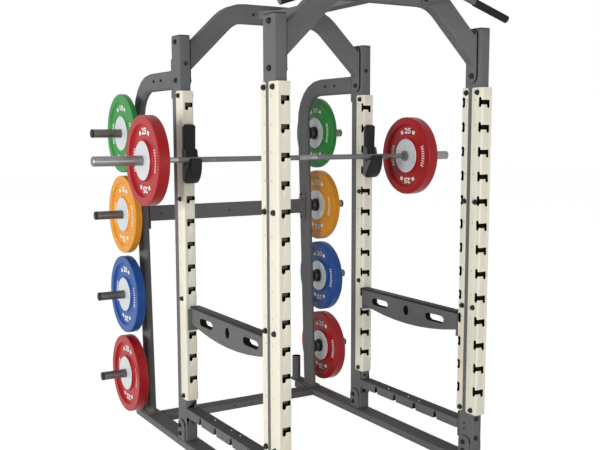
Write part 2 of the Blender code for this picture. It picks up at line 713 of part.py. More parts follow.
# Storage horns with their plates, the lightest on top
stored = ((red, RED_THICKNESS, "red"), (blue, BLUE_THICKNESS, "blue"),
          (amber, AMBER_THICKNESS, "amber"), (green, GREEN_THICKNESS, "green"))
horn_root = POST_X + POST_WIDTH / 2 + GAP
seat = PLATE_SEAT_X - horn_root
tip = HORN_TIP_X - horn_root
for k, (colour, thickness, shade) in enumerate(stored[:HORN_COUNT]):
    z = HORN_FIRST + k * HORN_SPACING
    y = post_y(z) + HORN_BEHIND
    profile = [(0, tip), (SLEEVE_RADIUS - HORN_TIP_CHAMFER, tip), (SLEEVE_RADIUS, tip - HORN_TIP_CHAMFER),
               (SLEEVE_RADIUS, seat), (HORN_FLANGE_RADIUS, seat), (HORN_FLANGE_RADIUS, seat - HORN_FLANGE),
               (HORN_WAIST_RADIUS, seat - HORN_FLANGE), (HORN_WAIST_RADIUS, HORN_COLLAR),
               (HORN_COLLAR_RADIUS, HORN_COLLAR), (HORN_COLLAR_RADIUS, 0), (0, 0)]
    horn = turned("storage_horn", profile, HORN_SIDES, (horn_root, y, z), chrome, rack)
    pair(horn, "storage_horn_" + shade)
    plate_piece("plate_" + shade, PLATE_SEAT_X + GAP, y, z, thickness, colour)


# Bar holder on a plate at the rear end of each base beam
holder_x = BEAM_X - HOLDER_INSET
plate_bottom = BEAM_HEIGHT + GAP
holder = block("bar_holder", (holder_x - HOLDER_PLATE_WIDTH / 2, HOLDER_PLATE_FRONT, plate_bottom),
               (holder_x + HOLDER_PLATE_WIDTH / 2, HOLDER_PLATE_REAR, plate_bottom + HOLDER_PLATE),
               steel, rack)
length = HOLDER_TOP - plate_bottom
floor_level = HOLDER_PLATE + HOLDER_FLOOR
tube = [(0, floor_level), (HOLDER_BORE, floor_level), (HOLDER_BORE, length), (HOLDER_RADIUS, length),
        (HOLDER_RADIUS, HOLDER_PLATE / 2), (0, HOLDER_PLATE / 2)]
standing = turned("holder_tube", tube, 14, (holder_x, HOLDER_Y, plate_bottom), tilt=-pi / 2)
combine(holder, standing, "UNION")
pair(holder, "bar_holder")


# Hook teeth: through the slot's leg, then down behind the sheet
def tooth(name, slot, face, into):
    z = SLOT_FIRST + slot * SLOT_SPACING - TOOTH_SEAT
    start = face - into * (GAP + HOOK_BACK / 2)
    behind = face + into * (SHEET + GAP)
    end = behind + into * TOOTH_THICKNESS
    profile = [(start, z), (behind, z), (behind, z - TOOTH_DROP), (end, z - TOOTH_DROP),
               (end, z + TOOTH_HEIGHT), (start, z + TOOTH_HEIGHT)]
    return flat(name, [profile], TOOTH_WIDTH, "X", LEG_X)


# Bar hooks: a folded steel bracket round a moulded liner
hook_low = UPRIGHT_X - HOOK_WIDTH / 2
hook_high = UPRIGHT_X + HOOK_WIDTH / 2
hook_back = MIDDLE_FACE - GAP
liner_back = hook_back - HOOK_BACK - GAP
bracket_bottom = BAR_Z - HOOK_FALL + BRACKET_INSET
bracket = block("bar_hook", (hook_low - HOOK_SIDE / 2, hook_back - HOOK_BACK, bracket_bottom),
                (hook_high + HOOK_SIDE / 2, hook_back, BAR_Z + HOOK_RISE - BRACKET_INSET), steel, rack)
side_plate = [(hook_back, bracket_bottom), (hook_back, BAR_Z + HOOK_SIDE_TOP)]
side_plate += [(BAR_Y + HOOK_SHOULDER_OUT, BAR_Z + HOOK_SHOULDER_UP)]
side_plate += arc((BAR_Y, BAR_Z), HOOK_HOLLOW, 10, -130, 4)
side_plate += [(hook_back - HOOK_SIDE_FOOT, bracket_bottom)]
for middle in (hook_low - GAP - HOOK_SIDE / 2, hook_high + GAP + HOOK_SIDE / 2):
    combine(bracket, flat("hook_side", [side_plate], HOOK_SIDE, "X", middle), "UNION")
for slot in (HOOK_SLOT, HOOK_SLOT + 1):
    combine(bracket, tooth("hook_tooth", slot, MIDDLE_FACE, 1), "UNION")
pair(bracket, "bar_hook")

seat_radius = (BAR_RADIUS + 2 * GAP) / cos(radians(13.75))
pad_front = liner_back - PAD_THICKNESS
liner = [(liner_back, BAR_Z - HOOK_FALL + PAD_ROUNDING), (liner_back, BAR_Z + HOOK_RISE),
         (pad_front + PAD_ROUNDING, BAR_Z + HOOK_RISE), (pad_front, BAR_Z + HOOK_RISE - PAD_ROUNDING),
         (pad_front, BAR_Z + 2 * BAR_RADIUS)]
liner += arc((BAR_Y, BAR_Z), seat_radius, 325, 215, 4)
lip = BAR_Y - HOOK_REACH
liner += arc((lip + LIP_ROUNDING, BAR_Z + LIP_OVER - LIP_ROUNDING), LIP_ROUNDING, 30, 180, 3)
quarter = [radians(15 * k) for k in range(7)]
liner += [(lip + HOOK_BELLY * (1 - cos(t)), BAR_Z - LIP_FALL - (HOOK_FALL - LIP_FALL) * sin(t))
          for t in quarter]
pair(flat("hook_liner", [liner], HOOK_WIDTH - 2 * GAP, "X", UPRIGHT_X, black, rack), "hook_liner")


# Safety arms: a slotted box with a bellied lower edge, hooked into both uprights
arm_slot_z = SLOT_FIRST + ARM_SLOT * SLOT_SPACING
arm_inner = COVER_IN - ARM_PLATE
arm_x = arm_inner + ARM_WIDTH / 2
arm_rear = MIDDLE_FACE - GAP
arm_front = INSIDE_FACE + GAP
arm_half = (arm_rear - arm_front) / 2
arm_middle = (arm_rear + arm_front) / 2
arm_top = arm_slot_z + ARM_TOP
arm_radius = (arm_half ** 2 + ARM_BELLY ** 2) / (2 * ARM_BELLY)
arm_swing = 180 / pi * 2 * atan(ARM_BELLY / arm_half)
belly = arc((arm_middle, arm_top - ARM_END_DEPTH - ARM_BELLY + arm_radius), arm_radius,
            270 - arm_swing, 270 + arm_swing, 8)
arm_outline = belly + [(arm_rear, arm_top), (arm_front, arm_top)]
hole_z = arm_top - ARM_HOLE_Z - ARM_HOLE_HEIGHT / 2
arm_holes = [stadium((arm_middle + side * ARM_HOLE_OFFSET, hole_z), ARM_HOLE_LENGTH, ARM_HOLE_HEIGHT, 3)
             for side in (-1, 1)]
eye = stadium((arm_middle, hole_z), ARM_EYE_WIDTH, ARM_EYE_HEIGHT, 3)
arm = flat("safety_arm", [arm_outline] + arm_holes + [eye], ARM_WIDTH, "X", arm_x, steel, rack)
for face, into in ((MIDDLE_FACE, 1), (INSIDE_FACE, -1)):
    near, far = sorted((face - into * GAP, face - into * (GAP + ARM_PLATE)))
    end_plate = block("arm_end_plate", (arm_inner, near, arm_slot_z - ARM_PLATE_FALL),
                      (LEG_X + LEG_WIDTH, far, arm_slot_z + ARM_PLATE_RISE))
    combine(arm, end_plate, "UNION")
    combine(arm, tooth("arm_tooth", ARM_SLOT, face, into), "UNION")
pair(arm, "safety_arm")
arm_liner = block("arm_liner", (arm_x - ARM_LINER_WIDTH / 2, arm_front, arm_top + GAP),
                  (arm_x + ARM_LINER_WIDTH / 2, arm_rear, arm_top + GAP + ARM_LINER), black, rack,
                  ARM_LINER_ROUNDING)
pair(arm_liner, "arm_liner")


# Barbell: one shaft, its ends inside two turning sleeves that carry a red plate each
shaft_end = BAR_HALF - SLEEVE_END_WALL - SLEEVE_CLEARANCE
shaft_profile = [(0, 2 * shaft_end), (BAR_RADIUS - BAR_CHAMFER, 2 * shaft_end),
                 (BAR_RADIUS, 2 * shaft_end - BAR_CHAMFER), (BAR_RADIUS, BAR_CHAMFER),
                 (BAR_RADIUS - BAR_CHAMFER, 0), (0, 0)]
turned("barbell_shaft", shaft_profile, 14, (-shaft_end, BAR_Y, BAR_Z), chrome, rack)
sleeve_bore = BAR_RADIUS + SLEEVE_CLEARANCE
sleeve = [(0, SLEEVE_LENGTH), (SLEEVE_RADIUS - SLEEVE_CHAMFER, SLEEVE_LENGTH),
          (SLEEVE_RADIUS, SLEEVE_LENGTH - SLEEVE_CHAMFER), (SLEEVE_RADIUS, SHOULDER_LENGTH + COLLAR_LENGTH),
          (COLLAR_RADIUS, SHOULDER_LENGTH + COLLAR_LENGTH), (COLLAR_RADIUS, SHOULDER_LENGTH),
          (SLEEVE_RADIUS, SHOULDER_LENGTH), (SLEEVE_RADIUS, 0), (sleeve_bore, 0),
          (sleeve_bore, SLEEVE_LENGTH - SLEEVE_END_WALL), (0, SLEEVE_LENGTH - SLEEVE_END_WALL)]
pair(turned("barbell_sleeve", sleeve, 14, (SLEEVE_START, BAR_Y, BAR_Z), chrome, rack), "barbell_sleeve")
plate_piece("bar_plate", BAR_SEAT_X + GAP, BAR_Y, BAR_Z, RED_THICKNESS, red)
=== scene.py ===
# Power rack with a loaded barbell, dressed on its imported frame
import bpy
import json
from math import pi, radians, tan
from mathutils import Matrix, Vector
from mathutils.bvhtree import BVHTree

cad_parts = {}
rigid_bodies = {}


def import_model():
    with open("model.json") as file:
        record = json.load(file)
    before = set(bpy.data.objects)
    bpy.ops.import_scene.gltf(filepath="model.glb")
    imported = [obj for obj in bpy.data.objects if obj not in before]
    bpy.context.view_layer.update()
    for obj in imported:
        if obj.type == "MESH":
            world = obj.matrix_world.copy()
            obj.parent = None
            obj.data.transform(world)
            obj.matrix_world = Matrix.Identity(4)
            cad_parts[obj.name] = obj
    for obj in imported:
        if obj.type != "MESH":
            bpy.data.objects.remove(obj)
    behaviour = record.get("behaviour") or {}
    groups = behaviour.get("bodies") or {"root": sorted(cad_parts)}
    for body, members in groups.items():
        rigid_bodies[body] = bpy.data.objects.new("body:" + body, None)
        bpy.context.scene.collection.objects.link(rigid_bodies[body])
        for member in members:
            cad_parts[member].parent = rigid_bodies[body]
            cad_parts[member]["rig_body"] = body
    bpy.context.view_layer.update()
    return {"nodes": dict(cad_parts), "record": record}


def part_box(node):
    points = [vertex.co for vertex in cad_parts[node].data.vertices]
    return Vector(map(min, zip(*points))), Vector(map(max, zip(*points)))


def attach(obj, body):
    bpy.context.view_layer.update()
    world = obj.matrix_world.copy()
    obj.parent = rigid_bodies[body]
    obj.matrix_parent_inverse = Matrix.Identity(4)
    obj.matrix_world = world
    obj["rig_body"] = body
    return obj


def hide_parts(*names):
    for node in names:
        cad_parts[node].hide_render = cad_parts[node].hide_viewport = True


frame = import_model()
nodes = frame["nodes"]
materialSlots = {part["node"]: part["material_slot"] for part in frame["record"]["subparts"]}
bothSides = ("left", "right")
near = 1e-4  # metres; what differs by less counts as level
weld = 1e-5  # vertices closer than this become one
print("frame loaded:", len(nodes), "nodes")


# Camera: fitted to the photo, 600 pixels across
camera = {
    "place": (-2.4616, -4.1877, 1.6852),
    "turnRight": 30.777,  # degrees from straight back
    "lookDown": 7.078,
    "roll": -0.16,
    "focalPixels": 894.45,
    "centrePixel": (297.44, 244.87),
    "photo": (600, 450),
    "sensorMm": 36,
    "seesTo": 60,
}


def addCamera(s):
    data = bpy.data.cameras.new("camera")
    data.sensor_width = s["sensorMm"]
    data.lens = s["focalPixels"] * data.sensor_width / s["photo"][0]
    data.shift_x = (s["photo"][0] / 2 - s["centrePixel"][0]) / s["photo"][0]
    data.shift_y = (s["centrePixel"][1] - s["photo"][1] / 2) / s["photo"][0]
    data.clip_end = s["seesTo"]
    obj = bpy.data.objects.new("camera", data)
    turn = Matrix.Rotation(-radians(s["turnRight"]), 4, "Z")
    tip = Matrix.Rotation(radians(90 - s["lookDown"]), 4, "X")
    roll = Matrix.Rotation(radians(s["roll"]), 4, "Z")
    obj.matrix_world = Matrix.Translation(s["place"]) @ turn @ tip @ roll
    bpy.context.scene.collection.objects.link(obj)
    bpy.context.scene.camera = obj


addCamera(camera)


# Materials
def linear(code):  # sRGB hex to linear colour
    parts = [int(code[i:i + 2], 16) / 255 for i in (1, 3, 5)]
    return [p / 12.92 if p <= 0.04045 else ((p + 0.055) / 1.055) ** 2.4 for p in parts] + [1]


def addNode(tree, kind, settings=None, inputs=None):
    node = tree.nodes.new(kind)
    for name, value in (settings or {}).items():
        setattr(node, name, value)
    for name, value in (inputs or {}).items():
        if isinstance(value, bpy.types.NodeSocket):
            tree.links.new(value, node.inputs[name])
        else:
            node.inputs[name].default_value = value
    return node


# Each finish: two shades in soft patches, a roughness that varies a little, a grain in the
# surface and, where the real one has them, turning rings or a knurl; sizes in millimetres
finishes = {
    # polyester powder baked on steel tube: an even grey, satin, faintly pebbled
    "greyPowderCoat": {"dark": "#69696A", "light": "#717171", "patchMm": 90, "grainMm": 3.0, "grain": 0.22,
                       "roughness": 0.56, "specular": 0.04, "slot": "grey_powder_coat"},
    # the same powder in cream on folded sheet: smoother, warm, a little glossier
    "creamPowderCoat": {"dark": "#E6E2CE", "light": "#EEEAD8", "patchMm": 140, "grainMm": 3.0, "grain": 0.14,
                        "roughness": 0.42, "specular": 0.2, "slot": "cream_powder_coat"},
    # painted shade: the rails' tops in the same powder, painted darker because little light falls on them
    "railTopShadePaint": {"dark": "#505050", "light": "#585858", "patchMm": 60, "grainMm": 3.0, "grain": 0.22,
                       "roughness": 0.6, "specular": 0.04, "slot": "grey_powder_coat"},
    # painted shade: a near-black finish on faces inside folds, holes and recesses and on plate rims, where
    # shade falls: dull, swallows light
    "shadePaint": {"dark": "#1D1A13", "light": "#28241B", "patchMm": 30, "grainMm": 2.0, "grain": 0.1,
                     "roughness": 0.85, "specular": 0.05, "slot": "grey_powder_coat"},
    # painted shade on the left uprights' tubes under the covers, near black, with a painted lighter brownish
    # band behind each slot's mouth where light reaches in
    "tubeShadePaint": {"dark": "#12110E", "light": "#1B1915", "patchMm": 40, "grainMm": 2.0, "grain": 0.1,
                   "roughness": 0.8, "specular": 0.05, "slot": "grey_powder_coat",
                   # painted light: a lighter brownish band behind each slot's mouth
                   "paintedMouthLight": {"shade": "#656054", "firstMm": 394, "everyMm": 120, "upMm": 3,
                              "fromMm": 7, "toMm": 14}},
    # cast urethane pads: nearly black, matt, with the mould's fine sparkle
    "mouldedUrethane": {"dark": "#232322", "light": "#2B2B2A", "patchMm": 25, "grainMm": 2.0, "grain": 0.3,
                        "roughness": 0.55, "specular": 0.15, "slot": "black_polymer"},
    # ribbed rubber on the grips: black and dull
    "gripRubber": {"dark": "#1C1C1C", "light": "#282828", "patchMm": 12, "grainMm": 1.6, "grain": 0.3,
                   "roughness": 0.65, "specular": 0.15, "slot": "black_polymer"},
    # injection-moulded polypropylene caps and plugs: black, smooth, slight sheen
    "mouldedPolypropylene": {"dark": "#1E1E1E", "light": "#262626", "patchMm": 20, "grainMm": 2.0,
                             "grain": 0.12, "roughness": 0.45, "specular": 0.2, "slot": "black_polymer"},
    # black-oxided bolts: dark, oily sheen
    "blackOxide": {"dark": "#181716", "light": "#242321", "patchMm": 8, "grainMm": 1.6, "grain": 0.12,
                   "roughness": 0.42, "specular": 0.25, "slot": "black_polymer"},
    # hard chrome on the barbell's turned sleeves: a pale grey mirror softened by turning rings
    # the real rings lie 0.3 mm apart and are drawn at 3 mm to show
    "turnedChrome": {"dark": "#807E7F", "light": "#8E8C8D", "patchMm": 60, "grainMm": 3.0, "grain": 0.05,
                     "roughness": 0.34, "metallic": 1, "ringsMm": 3.0, "rings": 0.25, "slot": "bright_steel"},
    # the horns' pins: the same chrome, warmer and scuffed by the plates
    "scuffedChrome": {"dark": "#605D5B", "light": "#736F6C", "patchMm": 30, "grainMm": 3.0, "grain": 0.05,
                      "roughness": 0.36, "metallic": 1, "ringsMm": 3.0, "rings": 0.25,
                      "slot": "bright_steel"},
    # smooth hard chrome on the shaft between its knurls
    "polishedChrome": {"dark": "#868587", "light": "#949395", "patchMm": 80, "grainMm": 3.0, "grain": 0.04,
                       "roughness": 0.28, "metallic": 1, "slot": "bright_steel"},
    # rolled diamond knurl under thin chrome: dull, darker, rough to the light
    # the real diamonds are 1.2 mm and are drawn at 4 mm to show
    "knurledChrome": {"dark": "#6A696C", "light": "#7A797C", "patchMm": 40, "grainMm": 2.0, "grain": 0.1,
                      "roughness": 0.45, "metallic": 1, "knurlMm": 4.0, "knurl": 0.8, "slot": "bright_steel"},
    # zinc-plated discs pressed into the plates: pale and soft
    "zincPlatedSteel": {"dark": "#CDD0D3", "light": "#DBDEE1", "patchMm": 50, "grainMm": 2.5, "grain": 0.08,
                        "roughness": 0.45, "metallic": 0.25, "slot": "bright_steel"},
    # vulcanised rubber of the plates: even colour, satin bloom that pales towards the light
    "redRubber": {"dark": "#A01016", "light": "#AE181E", "patchMm": 70, "grainMm": 2.0, "grain": 0.15,
                  "roughness": 0.38, "specular": 0.3, "slot": "red_rubber"},
    "blueRubber": {"dark": "#124690", "light": "#1C529E", "patchMm": 70, "grainMm": 2.0, "grain": 0.15,
                   "roughness": 0.38, "specular": 0.3, "slot": "blue_rubber"},
    "amberRubber": {"dark": "#DC8E0E", "light": "#EA9C1C", "patchMm": 70, "grainMm": 2.0, "grain": 0.15,
                    "roughness": 0.38, "specular": 0.3, "slot": "amber_rubber"},
    "greenRubber": {"dark": "#187C28", "light": "#228C34", "patchMm": 70, "grainMm": 2.0, "grain": 0.15,
                    "roughness": 0.38, "specular": 0.3, "slot": "green_rubber"},
    # screen-printed ink on the plates and the covers: flat, sits on the surface
    "whiteInk": {"dark": "#E6E4E0", "light": "#F2F0EC", "patchMm": 10, "grainMm": 1.5, "grain": 0.05,
                 "roughness": 0.5, "slot": "cream_powder_coat"},
    "greyInk": {"dark": "#8C8A80", "light": "#98968C", "patchMm": 10, "grainMm": 1.5, "grain": 0.02,
                "roughness": 0.5, "slot": "grey_powder_coat"},
}
texture = {
    "patches": 1000,  # these over a size in millimetres are the scale of a noise with cells of that size
    "handled": 400,  # handling marks are larger than the patches of shade
    "turning": 314,  # the same for the wave
    "grainDeep": 3000,  # a size in millimetres over these is the bump's depth in metres
    "ringsDeep": 6000,
    "knurlDeep": 8000,
    "glossVaries": 0.06,
}
barAxis = [sum(corner[i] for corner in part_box("barbell_shaft")) / 2 for i in range(3)]
barRadius = 0.014


def knurlHeight(tree, place, sizeMm):  # two crossed spirals round the bar's axis
    split = addNode(tree, "ShaderNodeSeparateXYZ", inputs={"Vector": place})
    across = addNode(tree, "ShaderNodeMath", {"operation": "SUBTRACT"}, {
        0: split.outputs["Y"], 1: barAxis[1]})
    up = addNode(tree, "ShaderNodeMath", {"operation": "SUBTRACT"}, {0: split.outputs["Z"], 1: barAxis[2]})
    angle = addNode(tree, "ShaderNodeMath", {"operation": "ARCTAN2"}, {
        0: up.outputs[0], 1: across.outputs[0]})
    starts = round(2 * pi * barRadius * 1000 / sizeMm)
    around = addNode(tree, "ShaderNodeMath", {"operation": "MULTIPLY"}, {0: angle.outputs[0], 1: starts})
    along = addNode(tree, "ShaderNodeMath", {"operation": "MULTIPLY"}, {
        0: split.outputs["X"], 1: 2 * pi * 1000 / sizeMm})
    waves = []
    for operation in ("ADD", "SUBTRACT"):
        mixed = addNode(tree, "ShaderNodeMath", {"operation": operation}, {
            0: along.outputs[0], 1: around.outputs[0]})
        waves.append(addNode(tree, "ShaderNodeMath", {"operation": "SINE"}, {0: mixed.outputs[0]}).outputs[0])
    return addNode(tree, "ShaderNodeMath", {"operation": "MAXIMUM"}, {0: waves[0], 1: waves[1]}).outputs[0]


def paintedLightBand(tree, place, colour, s):  # painted light: a lighter band at every slot's height, where light reaches into the slot's mouth
    height = addNode(tree, "ShaderNodeSeparateXYZ", inputs={"Vector": place}).outputs["Z"]
    offset = addNode(tree, "ShaderNodeMath", {"operation": "SUBTRACT"}, {
        0: height, 1: (s["firstMm"] + s["upMm"]) / 1000})
    half = s["everyMm"] / 2000
    wrapped = addNode(tree, "ShaderNodeMath", {"operation": "WRAP"}, {
        0: offset.outputs[0], 1: half, 2: -half})
    away = addNode(tree, "ShaderNodeMath", {"operation": "ABSOLUTE"}, {0: wrapped.outputs[0]})
    band = addNode(tree, "ShaderNodeMapRange", inputs={
        "Value": away.outputs[0], "From Min": s["fromMm"] / 1000, "From Max": s["toMm"] / 1000,
        "To Min": 1.0, "To Max": 0.0})
    return addNode(tree, "ShaderNodeMix", {"data_type": "RGBA"}, {
        0: band.outputs["Result"], 6: colour, 7: linear(s["shade"])}).outputs[2]


def makeFinish(name, s):
    material = bpy.data.materials.new(name)
    material.use_nodes = True
    tree = material.node_tree
    shader = tree.nodes["Principled BSDF"]
    shader.inputs["Metallic"].default_value = s.get("metallic", 0)
    shader.inputs["Specular IOR Level"].default_value = s.get("specular", 0.5)
    place = addNode(tree, "ShaderNodeTexCoord").outputs["Object"]
    patches = addNode(tree, "ShaderNodeTexNoise", inputs={
        "Vector": place, "Scale": texture["patches"] / s["patchMm"], "Detail": 3})
    shade = addNode(tree, "ShaderNodeMix", {"data_type": "RGBA"}, {
        0: patches.outputs["Fac"], 6: linear(s["dark"]), 7: linear(s["light"])})
    colour = shade.outputs[2]
    # painted light behind the slots' mouths
    if "paintedMouthLight" in s:
        colour = paintedLightBand(tree, place, colour, s["paintedMouthLight"])
    tree.links.new(colour, shader.inputs["Base Color"])
    handled = addNode(tree, "ShaderNodeTexNoise", inputs={
        "Vector": place, "Scale": texture["handled"] / s["patchMm"], "Detail": 4})
    gloss = addNode(tree, "ShaderNodeMapRange", inputs={
        "Value": handled.outputs["Fac"], "To Min": s["roughness"] - texture["glossVaries"],
        "To Max": s["roughness"] + texture["glossVaries"]})
    tree.links.new(gloss.outputs["Result"], shader.inputs["Roughness"])
    grain = addNode(tree, "ShaderNodeTexNoise", inputs={
        "Vector": place, "Scale": texture["patches"] / s["grainMm"], "Detail": 2})
    normal = addNode(tree, "ShaderNodeBump", inputs={
        "Strength": s["grain"], "Distance": s["grainMm"] / texture["grainDeep"],
        "Height": grain.outputs["Fac"]}).outputs["Normal"]
    if "rings" in s:
        wave = addNode(tree, "ShaderNodeTexWave", {"bands_direction": "X"}, {
            "Vector": place, "Scale": texture["turning"] / s["ringsMm"], "Distortion": 0.6, "Detail": 2,
            "Detail Scale": 3})
        normal = addNode(tree, "ShaderNodeBump", inputs={
            "Strength": s["rings"], "Distance": s["ringsMm"] / texture["ringsDeep"],
            "Height": wave.outputs["Fac"], "Normal": normal}).outputs["Normal"]
    if "knurl" in s:
        normal = addNode(tree, "ShaderNodeBump", inputs={
            "Strength": s["knurl"], "Distance": s["knurlMm"] / texture["knurlDeep"],
            "Height": knurlHeight(tree, place, s["knurlMm"]), "Normal": normal}).outputs["Normal"]
    tree.links.new(normal, shader.inputs["Normal"])
    return material


materials = {name: makeFinish(name, s) for name, s in finishes.items()}
slotFinish = {}
for name, s in finishes.items():
    slotFinish.setdefault(s["slot"], name)
for node, slot in materialSlots.items():
    nodes[node].data.materials.clear()
    nodes[node].data.materials.append(materials[slotFinish[slot]])
print("finishes made:", len(materials))


# Modelling steps that every piece shares
def deselect():
    if bpy.context.mode != "OBJECT":
        bpy.ops.object.mode_set(mode="OBJECT")
    bpy.ops.object.select_all(action="DESELECT")


def pick(obj):
    deselect()
    obj.select_set(True)
    bpy.context.view_layer.objects.active = obj


def editAll(obj):
    pick(obj)
    bpy.ops.object.mode_set(mode="EDIT")
    bpy.ops.mesh.select_mode(type="VERT")
    bpy.ops.mesh.select_all(action="SELECT")


def roundEdges(obj, widthMm, segments=2, angle=35, clamp=True, smooth=40):  # edges sharper than the angle
    pick(obj)
    bevel = obj.modifiers.new("Rounding", "BEVEL")
    bevel.width = widthMm / 1000
    bevel.segments = segments
    bevel.limit_method = "ANGLE"
    bevel.angle_limit = radians(angle)
    bevel.use_clamp_overlap = clamp
    bpy.ops.object.modifier_apply(modifier=bevel.name)
    bpy.ops.object.shade_smooth_by_angle(angle=radians(smooth))


def joined(pieces):
    deselect()
    for piece in pieces:
        piece.select_set(True)
    bpy.context.view_layer.objects.active = pieces[0]
    if len(pieces) > 1:
        bpy.ops.object.join()
    return bpy.context.object


def setDown(obj, name, finish, body, *replaced):  # place into the mesh, then name, finish and body
    pick(obj)
    bpy.ops.object.transform_apply(location=True, rotation=True, scale=True)
    obj.name = name
    obj.data.name = name
    obj.data.materials.clear()
    obj.data.materials.append(materials[finish])
    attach(obj, body)
    if replaced:
        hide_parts(*replaced)
    return obj


def copied(obj, matrix):  # its own mesh, moved
    copy = bpy.data.objects.new(obj.name, obj.data.copy())
    bpy.context.scene.collection.objects.link(copy)
    copy.data.transform(matrix)
    if matrix.determinant() < 0:
        copy.data.flip_normals()
    return copy


def innerEnd(node, y, z):  # puts what runs from 0 towards +X at the node's inner end, looking outwards
    low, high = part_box(node)
    if node.endswith("left"):
        return Matrix.Translation((high.x, y, z)) @ Matrix.Rotation(pi, 4, "Z")
    return Matrix.Translation((low.x, y, z))


capitalShare = 0.72  # a capital's height over the size of its font


def printed(body, high, thick, scale=(1, 1, 1), rotation=(0, 0, 0), location=(0, 0, 0), settings=None):
    deselect()
    bpy.ops.object.text_add(rotation=rotation, location=location)
    text = bpy.context.object
    text.scale = scale
    text.data.body = body
    text.data.size = high / capitalShare
    text.data.align_x = "CENTER"
    text.data.align_y = "CENTER"
    text.data.extrude = thick / 2
    for name, value in (settings or {}).items():
        setattr(text.data, name, value)
    pick(text)
    bpy.ops.object.convert(target="MESH")
    bpy.ops.object.transform_apply(location=True, rotation=True, scale=True)
    return bpy.context.object


def removed(*pieces):
    deselect()
    for piece in pieces:
        piece.select_set(True)
    bpy.ops.object.delete()


def turned(outline, sides, smooth=40):  # (radius, along) points spun about X, the first repeated for a ring
    deselect()
    bpy.ops.mesh.primitive_plane_add(size=0.01)
    obj = bpy.context.object
    editAll(obj)
    bpy.ops.mesh.merge(type="CENTER")
    bpy.ops.transform.translate(value=(outline[0][1], outline[0][0], 0))
    for (fromRadius, fromAlong), (radius, along) in zip(outline, outline[1:]):
        step = {"value": (along - fromAlong, radius - fromRadius, 0)}
        bpy.ops.mesh.extrude_vertices_move(TRANSFORM_OT_translate=step)
    bpy.ops.mesh.select_all(action="SELECT")
    bpy.ops.mesh.spin(steps=sides, angle=2 * pi, center=(0, 0, 0), axis=(1, 0, 0))
    bpy.ops.mesh.select_all(action="SELECT")
    bpy.ops.mesh.remove_doubles(threshold=weld)
    bpy.ops.mesh.normals_make_consistent(inside=False)
    bpy.ops.object.mode_set(mode="OBJECT")
    bpy.ops.object.shade_smooth_by_angle(angle=radians(smooth))
    return obj


def furtherFinish(obj, finish, chosen):  # the faces whose numbers are chosen
    obj.data.materials.append(materials[finish])
    last = len(obj.data.materials) - 1
    for face in obj.data.polygons:
        if face.index in chosen:
            face.material_index = last


def facesAcross(obj, reach, steepest=1.1):  # faces that look at another face of the piece within reach
    mesh = obj.data
    tree = BVHTree.FromPolygons([v.co for v in mesh.vertices], [list(f.vertices) for f in mesh.polygons])
    return {f.index for f in mesh.polygons if abs(f.normal.z) < steepest
            and tree.ray_cast(f.center + f.normal * near, f.normal, reach)[0]}


def facesInside(obj, boxes, margin):  # faces whose centres lie inside one of the boxes
    return {f.index for f in obj.data.polygons
            if any(all(low[i] + margin < f.center[i] < high[i] - margin for i in range(3))
                   for low, high in boxes)}


# Steel pieces, covers and pads: the CAD shapes with their folds and edges rounded
dressing = {
    "edgeMm": {"grey_powder_coat": 1.5, "cream_powder_coat": 0.7, "black_polymer": 3.0},
    "sameFlat": 0.5,  # degrees; faces that turn less are one
    "post": {"roundMm": 11.0, "segments": 4},  # the storage posts are flat-oval tubes
    "pad": {"crownMm": 18.0, "crownSegments": 5, "edgeMm": 6.0, "segments": 3, "angle": 60},  # the hooks'
    "keptApart": ("plate", "horn", "grip", "barbell", "sleeve"),
}

# The covers' slots are a little wider than the solids' and round: (level, moved to), from the
# middle of the rack for their legs and from the cover's face for their upright eyes
slots = {
    "legWalls": ((0.5677, 0.5647), (0.5807, 0.5827)),
    "eyeWalls": ((0.0085, 0.0062), (0.0225, 0.0260)),
    "sheet": 0.003,
    "roundMm": 5.5,
    "cornerRoundMm": 9.0,  # the covers' own free corners
    "segments": 3,
}

# The rails' notches: wider and nearly up to the rail's top
notches = {
    "at": (-0.5955, -0.4175, -0.2395, -0.0615),
    "half": 0.010,
    "wider": 1.9,
    "top": (0.200, 0.210),
    "higher": 0.011,
}

# Painted shade: darker finishes on faces in hollows and recesses, on plate rims and on the rails' tops
paintedShadeSettings = {
    "coverWebInside": 0.0012,
    "coverWebFacing": 0.3,
    "coverReach": 0.065,
    "reach": {"side_rail": (0.08, 1.1), "safety_arm": (0.16, 1.1), "bar_holder": (0.06, 0.5)},  # steepest
    "endsUnshaded": {"safety_arm": 0.045},
    "footPlate": 0.0058,  # painted shade on the rims of the foot brackets' plates
    "archPlate": (0.5271, 0.5366),  # and of the arches'
    "rimFacing": 0.5,
    "railTop": 0.2255,
    "railTopFacing": 0.7,
}


def coversOn(node):
    if not node.startswith("upright"):
        return []
    place, side = node.split("_")[1:]
    kinds = ("front", "inside") if place == "front" else ("middle",)
    return [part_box("cover_" + kind + "_" + side) for kind in kinds]


def cutUnderCovers(obj, node, covers):
    low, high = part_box(node)
    middle = (low.y + high.y) / 2
    editAll(obj)
    for coverLow, coverHigh in covers:
        edge = coverHigh.y if coverHigh.y < middle else coverLow.y
        for place, normal in (((0, 0, coverLow.z), (0, 0, 1)), ((0, 0, coverHigh.z), (0, 0, 1)),
                              ((0, edge, 0), (0, 1, 0))):
            bpy.ops.mesh.select_all(action="SELECT")
            bpy.ops.mesh.bisect(plane_co=place, plane_no=normal)
    bpy.ops.object.mode_set(mode="OBJECT")


def bevelEdges(obj, chosen, widthMm, segments, clamp):  # chosen says yes or no for an edge's two ends
    editAll(obj)
    bpy.ops.mesh.select_mode(type="EDGE")
    bpy.ops.mesh.select_all(action="DESELECT")
    bpy.ops.object.mode_set(mode="OBJECT")
    for edge in obj.data.edges:
        edge.select = chosen(*(obj.data.vertices[i].co for i in edge.vertices))
    bpy.ops.object.mode_set(mode="EDIT")
    bpy.ops.mesh.bevel(offset=widthMm / 1000, segments=segments, affect="EDGES", clamp_overlap=clamp)
    bpy.ops.object.mode_set(mode="OBJECT")


